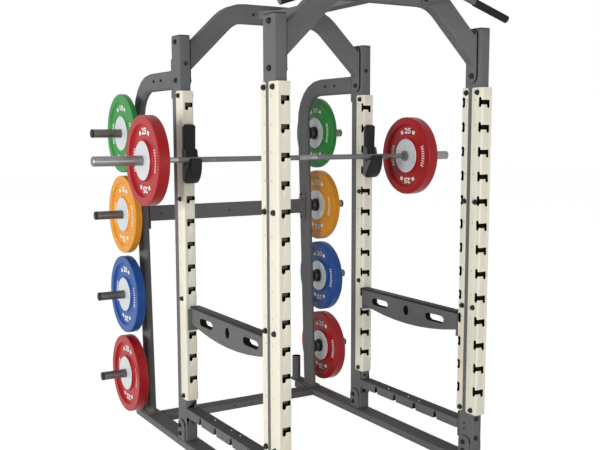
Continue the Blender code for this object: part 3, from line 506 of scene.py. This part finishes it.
def crownPad(obj, node, s):  # rounds the top's two corners as seen from the front
    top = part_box(node)[1].z - near
    bevelEdges(obj, lambda a, b: a.z > top and b.z > top and abs(a.x - b.x) < near,
               s["crownMm"], s["crownSegments"], False)
    roundEdges(obj, s["edgeMm"], s["segments"], s["angle"], clamp=False)


def openNotches(obj, s):
    for vertex in obj.data.vertices:
        for centre in s["at"]:
            if abs(vertex.co.y - centre) < s["half"]:
                vertex.co.y = centre + (vertex.co.y - centre) * s["wider"]
        if s["top"][0] < vertex.co.z < s["top"][1]:
            vertex.co.z += s["higher"]


def roundSlots(obj, node, s):
    low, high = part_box(node)
    face, into = (high.y, -1) if node.startswith("cover_inside") else (low.y, 1)
    for vertex in obj.data.vertices:
        for level, moved in s["legWalls"]:
            if abs(abs(vertex.co.x) - level) < near:
                vertex.co.x *= moved / level
        for level, moved in s["eyeWalls"]:
            if abs((vertex.co.y - face) * into - level) < near:
                vertex.co.y = face + into * moved

    def throughSheet(a, b, atEnds):  # an edge straight through the sheet, at the cover's ends or between
        across = sum(abs(a[i] - b[i]) > near for i in range(3)) == 1 and abs(a.z - b.z) < near
        between = low.z + 10 * near < a.z < high.z - 10 * near
        return across and abs((a - b).length - s["sheet"]) < 2 * near and between != atEnds

    bevelEdges(obj, lambda a, b: throughSheet(a, b, False), s["roundMm"], s["segments"], True)
    bevelEdges(obj, lambda a, b: throughSheet(a, b, True), s["cornerRoundMm"], s["segments"], True)


def paintedShadeFaces(obj, node, covers, s):  # (painted-shade finish, faces) for a dressed piece
    faces = obj.data.polygons
    low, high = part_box(node)
    found = []
    if covers:
        # painted shade on the tube's faces under the covers
        shadeFinish = "tubeShadePaint" if node.endswith("left") else "shadePaint"
        found.append((shadeFinish, facesInside(obj, covers, near)))
    # painted shade on the rims of the foot brackets' plates
    if node.startswith("foot"):
        found.append(("shadePaint", {
            f.index for f in faces if abs(f.normal.x) < s["rimFacing"] and f.normal.z > -s["rimFacing"]
            and min(f.center.x - low.x, high.x - f.center.x) < s["footPlate"]}))
    # painted shade on the rims of the arches' end plates
    if node.startswith("arch"):
        found.append(("shadePaint", {
            f.index for f in faces if abs(f.normal.x) < s["rimFacing"]
            and s["archPlate"][0] < abs(f.center.x) < s["archPlate"][1]}))
    # painted shade inside the covers: their webs and the faces that look across at other faces
    if node.startswith("cover"):
        openSide = -1 if node.startswith("cover_inside") else 1
        web = {i for i in facesInside(obj, [(low, high)], s["coverWebInside"])
               if faces[i].normal.y * openSide > s["coverWebFacing"]}
        found.append(("shadePaint", web | facesAcross(obj, s["coverReach"])))
    # painted shade on faces that look across a recess at another face of the piece
    for kind, (reach, steepest) in s["reach"].items():
        if node.startswith(kind):
            ends = s["endsUnshaded"].get(kind, 0)
            found.append(("shadePaint", {
                i for i in facesAcross(obj, reach, steepest)
                if low.y + ends <= faces[i].center.y <= high.y - ends}))
    # painted shade on the side rails' tops
    if node.startswith("side_rail"):
        found.append(("railTopShadePaint", {
            f.index for f in faces
            if f.normal.z > s["railTopFacing"] and abs(f.center.z - s["railTop"]) < 10 * near}))
    return found


def dressed(node, s):
    slot = materialSlots[node]
    obj = bpy.data.objects.new(node + "_dressed", nodes[node].data.copy())
    bpy.context.scene.collection.objects.link(obj)
    editAll(obj)
    bpy.ops.mesh.remove_doubles(threshold=weld)
    bpy.ops.mesh.dissolve_limited(angle_limit=radians(s["sameFlat"]))
    bpy.ops.object.mode_set(mode="OBJECT")
    if node.startswith("cover"):
        roundSlots(obj, node, slots)
    if node.startswith("side_rail"):
        openNotches(obj, notches)
    if node.startswith("storage_post"):
        roundEdges(obj, s["post"]["roundMm"], s["post"]["segments"])
    if node.startswith("hook_liner"):
        crownPad(obj, node, s["pad"])
    else:
        roundEdges(obj, s["edgeMm"][slot])
    covers = coversOn(node)
    # the tube is split at the covers' edges, so that its faces under them can take the painted shade
    if covers:
        cutUnderCovers(obj, node, covers)
    setDown(obj, node + "_dressed", slotFinish[slot], nodes[node]["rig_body"], node)
    # the chosen faces take the painted-shade finishes
    for finish, chosen in paintedShadeFaces(obj, node, covers, paintedShadeSettings):
        furtherFinish(obj, finish, chosen)


for node in materialSlots:
    if not any(word in node for word in dressing["keptApart"]):
        dressed(node, dressing)
print("steel dressed")


# Black caps on the uprights and plugs in the base beams' ends
caps = {
    "uprightHigh": 0.003,
    "uprightInset": 0.001,
    "plugInset": 0.004,
    "plugProud": 0.0015,
    "plugDeep": 0.006,
    "plugSunk": 0.001,
    "rim": 0.005,
    "edgeMm": 1.2,
    "facing": 0.99,
}


def addCap(name, low, high, sunkFace, s):
    deselect()
    bpy.ops.mesh.primitive_cube_add(size=1, location=(Vector(low) + Vector(high)) / 2)
    obj = bpy.context.object
    obj.scale = Vector(high) - Vector(low)
    pick(obj)
    bpy.ops.object.transform_apply(location=True, rotation=True, scale=True)
    roundEdges(obj, s["edgeMm"])
    sunk = [f.normal.dot(Vector(sunkFace)) > s["facing"] for f in obj.data.polygons]
    editAll(obj)
    bpy.ops.mesh.select_mode(type="FACE")
    bpy.ops.mesh.select_all(action="DESELECT")
    bpy.ops.object.mode_set(mode="OBJECT")
    obj.data.polygons.foreach_set("select", sunk)
    bpy.ops.object.mode_set(mode="EDIT")
    bpy.ops.mesh.inset(thickness=s["rim"])
    bpy.ops.transform.translate(value=Vector(sunkFace) * -s["plugSunk"])
    bpy.ops.object.mode_set(mode="OBJECT")
    setDown(obj, name, "mouldedPolypropylene", "rack")


for side in bothSides:
    for place in ("front", "middle"):
        low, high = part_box("upright_" + place + "_" + side)
        inset = caps["uprightInset"]
        addCap("upright_cap_" + place + "_" + side, (low.x + inset, low.y + inset, high.z),
               (high.x - inset, high.y - inset, high.z + caps["uprightHigh"]), (0, 0, 1), caps)
    low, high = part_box("base_beam_" + side)
    inset = caps["plugInset"]
    for place, end, out in (("front", low.y, -1), ("rear", high.y, 1)):
        edges = sorted((end + out * caps["plugProud"], end - out * caps["plugDeep"]))
        addCap("base_plug_" + place + "_" + side, (low.x + inset, edges[0], low.z + inset),
               (high.x - inset, edges[1], high.z - inset), (0, out, 0), caps)
print("caps and plugs made")


# Fasteners: one domed bolt on its washer, copied; the left half mirrors the right
bolt = {
    "washer": 0.002,  # thickness
    "washerRadius": 0.5,  # this and the next are shares of the diameter
    "headRadius": 0.42,
    "head": 0.34,
    "socket": 0.14,
    "socketDeep": 0.8,  # of the socket's radius
    "dome": ((0.84, 0.15), (0.98, 0.42)),  # shares of the head's radius and of its height from the top
    "crown": (0.60, 0.0004),  # where the flat top ends, and how far it has dropped there
    "washerChamfer": (0.0007, 0.0006),
    "sunk": 0.0005,
    "sides": 16,
}
bolts = {  # faces are (direction, level); the two other lists are the places across that face
    "cover_bolts": {"mm": 28, "head": 0.42, "faces": (("+X", 0.6003), ("-X", 0.5337)),
                    "across": (-0.866, -0.787, 0.128), "z": (0.294, 0.822, 1.350, 1.882)},
    "arch_bolts": {"mm": 29, "head": 0.42, "faces": (("+X", 0.597), ("-X", 0.5267)),
                   "across": (-0.831, 0.164), "z": (2.157, 1.961)},
    "foot_bolts": {"mm": 27, "head": 0.4, "faces": (("+X", 0.6053), ("-X", 0.5287)),
                   "across": (0.177, -0.818), "z": (0.117, 0.072)},
    "post_flange_bolts": {"mm": 22, "faces": (("-Y", 0.1145),), "across": (0.564,), "z": (2.045,)},
    "rear_arch_bolts": {"mm": 16, "faces": (("-Y", 0.137), ("+Y", 0.197)), "across": (0.157,), "z": (2.317,)},
    "hanger_bolts": {"mm": 15, "faces": (("-Y", -0.864),), "across": (0.207, 0.243), "z": (2.292, 2.348)},
    "crossmember_bolts": {"mm": 18, "faces": (("-X", 0.5262),), "across": (0.775,), "z": (1.1515, 1.2955)},
    "rail_bolts_rear": {"mm": 18, "faces": (("-Y", 0.1062), ("+Y", 0.2195)), "across": (0.562,),
                        "z": (0.247, 0.147)},
    "rail_bolts_front": {"mm": 26, "faces": (("-Y", -0.8765), ("+Y", -0.7632)), "across": (0.562,),
                         "z": (0.247, 0.147)},
    "upright_plugs": {"mm": 10, "faces": (("-X", 0.537),), "across": (-0.816,), "z": (0.2156, 0.186)},
    "post_plugs": {"mm": 18, "faces": (("+X", 0.5835), ("-X", 0.5345)), "across": (0.40, 0.505),
                   "z": (1.972,)},
    "crossmember_plugs": {"mm": 10, "faces": (("-Y", 0.7371),), "across": (0.461,), "z": (1.221,)},
    "crossmember_middle_plug": {"mm": 10, "faces": (("-Y", 0.7371),), "across": (-0.015,), "z": (1.221,),
                                "mirrored": False},
    "floor_crossmember_plugs": {"mm": 10, "faces": (("-Y", 0.6105),), "across": (0.058,), "z": (0.0225,)},
    "hook_pins": {"mm": 12, "faces": (("+X", 0.6043), ("-X", 0.5297)), "across": (0.055,), "z": (1.53,)},
    "rail_rivets": {"mm": 7, "faces": (("+Z", 0.226),), "across": (0.551,), "z": (-0.4301, -0.3357, -0.1515),
                    "finish": "zincPlatedSteel"},
}
facing = {"+X": Matrix(), "-X": Matrix.Rotation(pi, 4, "Z"), "+Y": Matrix.Rotation(pi / 2, 4, "Z"),
          "-Y": Matrix.Rotation(-pi / 2, 4, "Z"), "+Z": Matrix.Rotation(-pi / 2, 4, "Y")}
mirrorX = Matrix.Scale(-1, 4, (1, 0, 0))


def boltPattern(s, diameter, headShare):
    washer, head, socket = (s[part] * diameter for part in ("washerRadius", "headRadius", "socket"))
    top = s["washer"] + headShare * diameter
    floor = top - socket * s["socketDeep"]
    crown, dropped = s["crown"]
    inwards, down = s["washerChamfer"]
    outline = [(0, floor), (socket, floor), (socket, top), (head * crown, top - dropped)]
    outline += [(head * radius, top - drop * (top - s["washer"])) for radius, drop in s["dome"]]
    outline += [(head, s["washer"]), (washer - inwards, s["washer"]), (washer, s["washer"] - down),
                (washer, -s["sunk"]), (0, -s["sunk"])]
    return turned(outline, s["sides"])


for name, s in bolts.items():
    pattern = boltPattern(bolt, s["mm"] / 1000, s.get("head", bolt["head"]))
    copies = []
    for direction, level in s["faces"]:
        for across in s["across"]:
            for z in s["z"]:
                spots = {"X": (level, across, z), "Y": (across, level, z), "Z": (across, z, level)}
                place = Matrix.Translation(spots[direction[1]]) @ facing[direction]
                copies.append(copied(pattern, place))
                if s.get("mirrored", True):
                    copies.append(copied(pattern, mirrorX @ place))
    removed(pattern)
    setDown(joined(copies), name, s.get("finish", "blackOxide"), "rack")
print("fasteners set")


# Slot numbers printed small beside the slots, counted from the bottom
slotNumbers = {"count": 13, "first": 0.394, "spacing": 0.120, "high": 0.012, "above": 0.011, "ink": 0.0003,
               "fromFace": {"front": 0.052, "middle": 0.052, "inside": -0.036}}


def numberColumn(s):
    return joined([
        printed(str(k + 1), s["high"], s["ink"], rotation=(pi / 2, 0, pi / 2),
                location=(0, 0, s["first"] + s["above"] + k * s["spacing"]), settings={"resolution_u": 3})
        for k in range(s["count"])])


column = numberColumn(slotNumbers)
copies = []
for kind, fromFace in slotNumbers["fromFace"].items():
    for side in bothSides:
        low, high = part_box("cover_" + kind + "_" + side)
        y = (low.y if fromFace > 0 else high.y) + fromFace
        copies.append(copied(column, Matrix.Translation((high.x, y, 0))))
        copies.append(copied(column, Matrix.Translation((low.x, y, 0)) @ Matrix.Rotation(pi, 4, "Z")))
removed(column)
setDown(joined(copies), "slot_numbers", "greyInk", "rack")
print("slot numbers printed")


# Plates: thick rim, sunk web, raised hub with a steel disc, plain numbers
plate = {
    "rimInner": 0.183,
    "slope": 0.005,
    "hub": 0.105,
    "hubStep": 0.002,
    "webShare": 0.27,
    "edge": {"widthMm": 4.0, "segments": 3, "angle": 40},
    "disc": 0.098,
    "discStep": 0.0012,  # proud of the hub's face
    "discSunk": 0.004,
    "discChamfer": 0.001,
    "discEdge": (0.002, 0.0015),  # across and down
    "groove": 0.060,
    "grooveHalf": 0.0015,
    "discSmooth": 30,  # degrees
    "bore": 0.0256,
    "sides": 96,
    "numberHeight": 0.031,
    "numberWide": 1.4,  # stretch across
    "numberRadius": 0.144,
    "inkThick": 0.0006,
    "inkFatter": 0.0015,
    "tickRadius": 0.145,
    "tickSpread": 44,  # degrees that the ticks cover, each side
    "ticks": 9,
    "tickSize": (0.0068, 0.024),  # along and across the ring
    "barTurn": 22,  # degrees from the number to the bar at each side of it
    "barSize": (0.024, 0.020),
}
plateKinds = {"red": "25", "blue": "20", "amber": "15", "green": "10"}


def plateBody(s, radius, thickness):
    web = thickness * (1 - s["webShare"])
    half = [(s["bore"], thickness - s["hubStep"]), (s["hub"] - s["slope"], thickness - s["hubStep"]),
            (s["hub"], web), (s["rimInner"] - s["slope"], web), (s["rimInner"], thickness),
            (radius, thickness)]
    outline = half + [(r, thickness - along) for r, along in reversed(half)] + half[:1]
    obj = turned(outline, s["sides"])
    roundEdges(obj, **s["edge"])
    return obj


def plateDiscs(s, thickness):
    face = thickness - s["hubStep"]
    top, foot = face + s["discStep"], face - s["discSunk"]
    groove, half, chamfer = s["groove"], s["grooveHalf"], s["discChamfer"]
    across, down = s["discEdge"]
    disc = turned([(s["bore"], foot), (s["bore"], top - chamfer), (s["bore"] + chamfer, top),
                   (groove - half, top), (groove, top - chamfer), (groove + half, top),
                   (s["disc"] - across, top), (s["disc"], top - down), (s["disc"], foot), (s["bore"], foot)],
                  s["sides"], s["discSmooth"])
    return joined([disc, copied(disc, Matrix.Translation((thickness, 0, 0)) @ mirrorX)])


def plateInk(s, number, thickness):
    web = thickness * (1 - s["webShare"])
    upright = Matrix.Rotation(pi / 2, 4, "Z") @ Matrix.Rotation(pi / 2, 4, "X")
    marks = []
    for turn in (0, pi):
        text = printed(number, s["numberHeight"], s["inkThick"], scale=(s["numberWide"], 1, 1),
                       settings={"offset": s["inkFatter"]})
        place = Matrix.Rotation(turn, 4, "X") @ Matrix.Translation((web, 0, s["numberRadius"]))
        text.data.transform(place @ upright)
        marks.append(text)
    spots = [(side + turn, s["barSize"]) for side in (0, 180) for turn in (-s["barTurn"], s["barTurn"])]
    spots += [(side + (k / (s["ticks"] - 1) - 0.5) * s["tickSpread"], s["tickSize"])
              for side in (90, 270) for k in range(s["ticks"])]
    for degrees, size in spots:
        deselect()
        bpy.ops.mesh.primitive_cube_add(size=1)
        tick = bpy.context.object
        tick.data.transform(Matrix.Diagonal((s["inkThick"], *size, 1)))
        outwards = Matrix.Translation((web, 0, s["tickRadius"]))
        tick.data.transform(Matrix.Rotation(radians(degrees), 4, "X") @ outwards)
        marks.append(tick)
    front = joined(marks)
    return joined([front, copied(front, Matrix.Translation((thickness, 0, 0)) @ Matrix.Rotation(pi, 4, "Z"))])


def dressPlate(node, s, shade, number):
    low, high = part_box(node)
    thickness = high.x - low.x
    centre = Vector((low.x, (low.y + high.y) / 2, (low.z + high.z) / 2))

    def put(obj, label, finish, *replaced):
        obj.data.transform(Matrix.Translation(centre))
        setDown(obj, node + "_" + label, finish, nodes[node]["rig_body"], *replaced)

    put(plateBody(s, (high.z - low.z) / 2, thickness), "rubber", shade + "Rubber", node)
    put(plateDiscs(s, thickness), "hub_discs", "zincPlatedSteel")
    put(plateInk(s, number, thickness), "numbers", "whiteInk")


for side in bothSides:
    for shade, number in plateKinds.items():
        dressPlate("plate_" + shade + "_" + side, plate, shade, number)
    dressPlate("bar_plate_" + side, plate, "red", plateKinds["red"])
print("plates made")


# Storage horns: black collar and flange, bright ring, waist and pin, black end cap
horn = {
    "sides": 32,
    "parts": {  # (radius, along) from the post's face
        "collar": ("mouldedPolypropylene", [(0.030, 0), (0.044, 0), (0.044, 0.0165), (0.0425, 0.018),
                                            (0.030, 0.018), (0.030, 0)]),
        "pin": ("scuffedChrome", [(0, 0.001), (0.0255, 0.001), (0.0295, 0.018), (0.034, 0.018),
                                 (0.034, 0.0215), (0.0335, 0.022), (0.030, 0.022), (0.030, 0.0507),
                                 (0.0243, 0.0507), (0.0243, 0.2542), (0, 0.2542)]),
        "flange": ("mouldedPolypropylene", [(0.024, 0.0507), (0.041, 0.0507), (0.042, 0.0517),
                                            (0.042, 0.0597), (0.041, 0.0607), (0.024, 0.0607),
                                            (0.024, 0.0507)]),
        "end_cap": ("mouldedPolypropylene", [(0, 0.2537), (0.0246, 0.2537), (0.0246, 0.2602),
                                             (0.0235, 0.2632), (0.0215, 0.2642), (0, 0.2642)]),
    },
}
for label, (finish, outline) in horn["parts"].items():
    pattern = turned(outline, horn["sides"])
    for side in bothSides:
        for shade in plateKinds:
            node = "storage_horn_" + shade + "_" + side
            low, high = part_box(node)
            place = innerEnd(node, (low.y + high.y) / 2, (low.z + high.z) / 2)
            setDown(copied(pattern, place), node + "_" + label, finish, "rack", node)
    removed(pattern)
print("horns made")


# Barbell: shaft with its knurls and ring marks, hollow sleeves with stepped collars
shaft = {
    "centreKnurl": 0.06,
    "knurl": (0.170, 0.655),
    "ringMark": 0.455,
    "markWide": 0.004,
    "markDeep": 0.0006,
    "markSlope": 0.0004,
    "knurlProud": 0.0002,
    "knurlSlope": 0.0005,
    "endChamfer": 0.002,
    "sides": 28,
}


def dressShaft(s):
    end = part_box("barbell_shaft")[1].x
    r, proud = barRadius, barRadius + s["knurlProud"]
    inner, outer = s["knurl"]
    mark, wide, deep = s["ringMark"], s["markWide"] / 2, s["markDeep"]
    slope, chamfer = s["knurlSlope"], s["endChamfer"]
    markFloor = wide - s["markSlope"]
    half = [(proud, 0), (proud, s["centreKnurl"]), (r, s["centreKnurl"] + slope), (r, inner),
            (proud, inner + slope), (proud, mark - wide), (r - deep, mark - markFloor),
            (r - deep, mark + markFloor), (proud, mark + wide), (proud, outer), (r, outer + slope),
            (r, end - chamfer), (r - chamfer, end), (0, end)]
    outline = [(radius, -along) for radius, along in reversed(half[1:])] + half
    obj = turned(outline, s["sides"])
    obj.data.transform(Matrix.Translation((0, barAxis[1], barAxis[2])))
    setDown(obj, "barbell_shaft_turned", "polishedChrome", "barbell", "barbell_shaft")
    knurled = {f.index for f in obj.data.polygons
               if abs(f.center.x) < s["centreKnurl"] or inner < abs(f.center.x) < mark - wide
               or mark + wide < abs(f.center.x) < outer}
    furtherFinish(obj, "knurledChrome", knurled)


sleeve = {  # outlines are (radius, along), from the inner end unless said otherwise
    "radius": 0.025,
    "bore": 0.0145,
    "boreDeep": 0.314,
    "collar": [(0.0244, 0), (0.025, 0.0006), (0.025, 0.004), (0.0295, 0.004), (0.030, 0.0045),
               (0.030, 0.0155), (0.0295, 0.016), (0.025, 0.016)],
    "grooves": (0.020, 0.318),
    "groove": [(0, -0.0014), (0.0008, -0.0006), (0.0008, 0.0006), (0, 0.0014)],  # (deep, from its middle)
    "end": [(0.025, 0.004), (0.021, 0), (0.017, 0), (0.0165, 0.0015), (0, 0.0015)],  # back from the outer end
    "sides": 40,
}


def dressSleeve(s, node):
    low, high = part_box(node)
    outline = [(0, s["boreDeep"]), (s["bore"], s["boreDeep"]), (s["bore"], 0)] + s["collar"]
    for middle in s["grooves"]:
        outline += [(s["radius"] - deep, middle + along) for deep, along in s["groove"]]
    outline += [(radius, high.x - low.x - back) for radius, back in s["end"]]
    obj = turned(outline, s["sides"])
    obj.data.transform(innerEnd(node, barAxis[1], barAxis[2]))
    setDown(obj, node + "_turned", "turnedChrome", node, node)


dressShaft(shaft)
for side in bothSides:
    dressSleeve(sleeve, "barbell_sleeve_" + side)
print("barbell made")


# Grips: ribbed rubber sleeves pushed on the pull-up bar's sloping ends
grip = {
    "fromX": 0.416,
    "bendX": 0.270,
    "y": -0.9595,
    "z": 2.335,
    "slope": 18,  # degrees
    "long": 0.2166,
    "radius": 0.0178,
    "ribMm": 6.0,
    "ribDeep": 0.0014,
    "rib": ((0, 0.15), (0, 0.60), (1, 0.72), (1, 0.98)),  # shares of the rib's depth and of its length
    "ends": (0.0015, 0.003),  # thinner by this
    "sides": 28,
}


def dressGrip(s, side):
    ribs = int(s["long"] * 1000 / s["ribMm"])
    step = s["long"] / ribs
    outline = [(0, 0), (s["radius"] - s["ends"][0], 0)]
    for k in range(ribs):
        outline += [(s["radius"] - s["ribDeep"] * deep, (k + along) * step) for deep, along in s["rib"]]
    outline[-1] = (s["radius"] - s["ends"][1], s["long"])
    outline += [(0, s["long"])]
    obj = turned(outline, s["sides"])
    tip = Matrix.Rotation(radians(s["slope"]), 4, "Y")
    z = s["z"] - (s["fromX"] - s["bendX"]) * tan(radians(s["slope"]))
    place = Matrix.Translation((s["fromX"], s["y"], z)) @ tip
    if side == "left":
        place = Matrix.Rotation(pi, 4, "Z") @ Matrix.Translation((s["fromX"], -s["y"], z)) @ tip
    obj.data.transform(place)
    setDown(obj, "grip_" + side + "_ribbed", "gripRubber", "rack", "grip_" + side)


for side in bothSides:
    dressGrip(grip, side)
print("grips made")


# Studio: pale floor, white surround, soft lamps at the left and in front
studio = {
    "floorSize": 60,
    "floorColour": "#F0F0F0",
    "floorGlow": 0.83,  # white added for the camera and mirrors only, so the shadow stays
    "horizon": 0.9,
    "zenith": 0.04,
    "fades": 2.0,  # how fast from the one to the other
    "lamps": {  # place, what it looks at, width and height in metres, watts
        "key": ((-12.0, -2.2, 1.3), (0, -0.2, 1.2), (8.0, 4.4), 1250),
        "fill": ((0.5, -6.0, 1.2), (0, -0.2, 1.2), (4.0, 2.2), 90),
        "glint": ((-1.0, -4.2, 5.2), (0, -0.2, 1.5), (0.9, 0.9), 18),
    },
}


def raySeen(tree):  # 1 for what the camera, a mirror or glass sees
    ray = addNode(tree, "ShaderNodeLightPath")
    seen = ray.outputs["Is Camera Ray"]
    for kind in ("Is Glossy Ray", "Is Transmission Ray"):
        seen = addNode(tree, "ShaderNodeMath", {"operation": "MAXIMUM"}, {
            0: seen, 1: ray.outputs[kind]}).outputs[0]
    return seen


def addFloor(s):
    deselect()
    bpy.ops.mesh.primitive_plane_add(size=s["floorSize"])
    floor = bpy.context.object
    floor.name = "floor"
    material = bpy.data.materials.new("paleFloor")
    material.use_nodes = True
    tree = material.node_tree
    shader = tree.nodes["Principled BSDF"]
    shader.inputs["Base Color"].default_value = linear(s["floorColour"])
    shader.inputs["Roughness"].default_value = 1.0
    shader.inputs["Specular IOR Level"].default_value = 0.0
    glow = addNode(tree, "ShaderNodeMath", {"operation": "MULTIPLY"}, {0: raySeen(tree), 1: s["floorGlow"]})
    light = addNode(tree, "ShaderNodeEmission", inputs={"Color": (1, 1, 1, 1), "Strength": glow.outputs[0]})
    both = addNode(tree, "ShaderNodeAddShader", inputs={0: shader.outputs[0], 1: light.outputs[0]})
    tree.links.new(both.outputs[0], tree.nodes["Material Output"].inputs["Surface"])
    floor.data.materials.append(material)


def addWorld(s):
    world = bpy.data.worlds.new("studio")
    bpy.context.scene.world = world
    world.use_nodes = True
    tree = world.node_tree
    tree.nodes.clear()
    up = addNode(tree, "ShaderNodeSeparateXYZ", inputs={
        "Vector": addNode(tree, "ShaderNodeTexCoord").outputs["Generated"]})
    below = addNode(tree, "ShaderNodeMath", {"operation": "SUBTRACT", "use_clamp": True}, {
        0: 1.0, 1: up.outputs["Z"]})
    falling = addNode(tree, "ShaderNodeMath", {"operation": "POWER"}, {0: below.outputs[0], 1: s["fades"]})
    level = addNode(tree, "ShaderNodeMapRange", inputs={
        "Value": falling.outputs[0], "To Min": s["zenith"], "To Max": s["horizon"]})
    soft = addNode(tree, "ShaderNodeBackground", inputs={
        "Color": (1, 1, 1, 1), "Strength": level.outputs["Result"]})
    white = addNode(tree, "ShaderNodeBackground", inputs={"Color": (1, 1, 1, 1), "Strength": 1.0})
    mix = addNode(tree, "ShaderNodeMixShader", inputs={
        0: raySeen(tree), 1: soft.outputs[0], 2: white.outputs[0]})
    output = addNode(tree, "ShaderNodeOutputWorld")
    tree.links.new(mix.outputs[0], output.inputs["Surface"])


def addLamps(lamps):
    for name, (place, aim, size, watts) in lamps.items():
        light = bpy.data.lights.new(name, "AREA")
        light.shape = "RECTANGLE"
        light.size, light.size_y = size
        light.energy = watts
        lamp = bpy.data.objects.new(name, light)
        lamp.location = place
        lamp.rotation_euler = (Vector(aim) - Vector(place)).to_track_quat("-Z", "Y").to_euler()
        bpy.context.scene.collection.objects.link(lamp)


addFloor(studio)
addWorld(studio)
addLamps(studio["lamps"])
bpy.context.scene.view_settings.view_transform = "Standard"
print("studio lit")
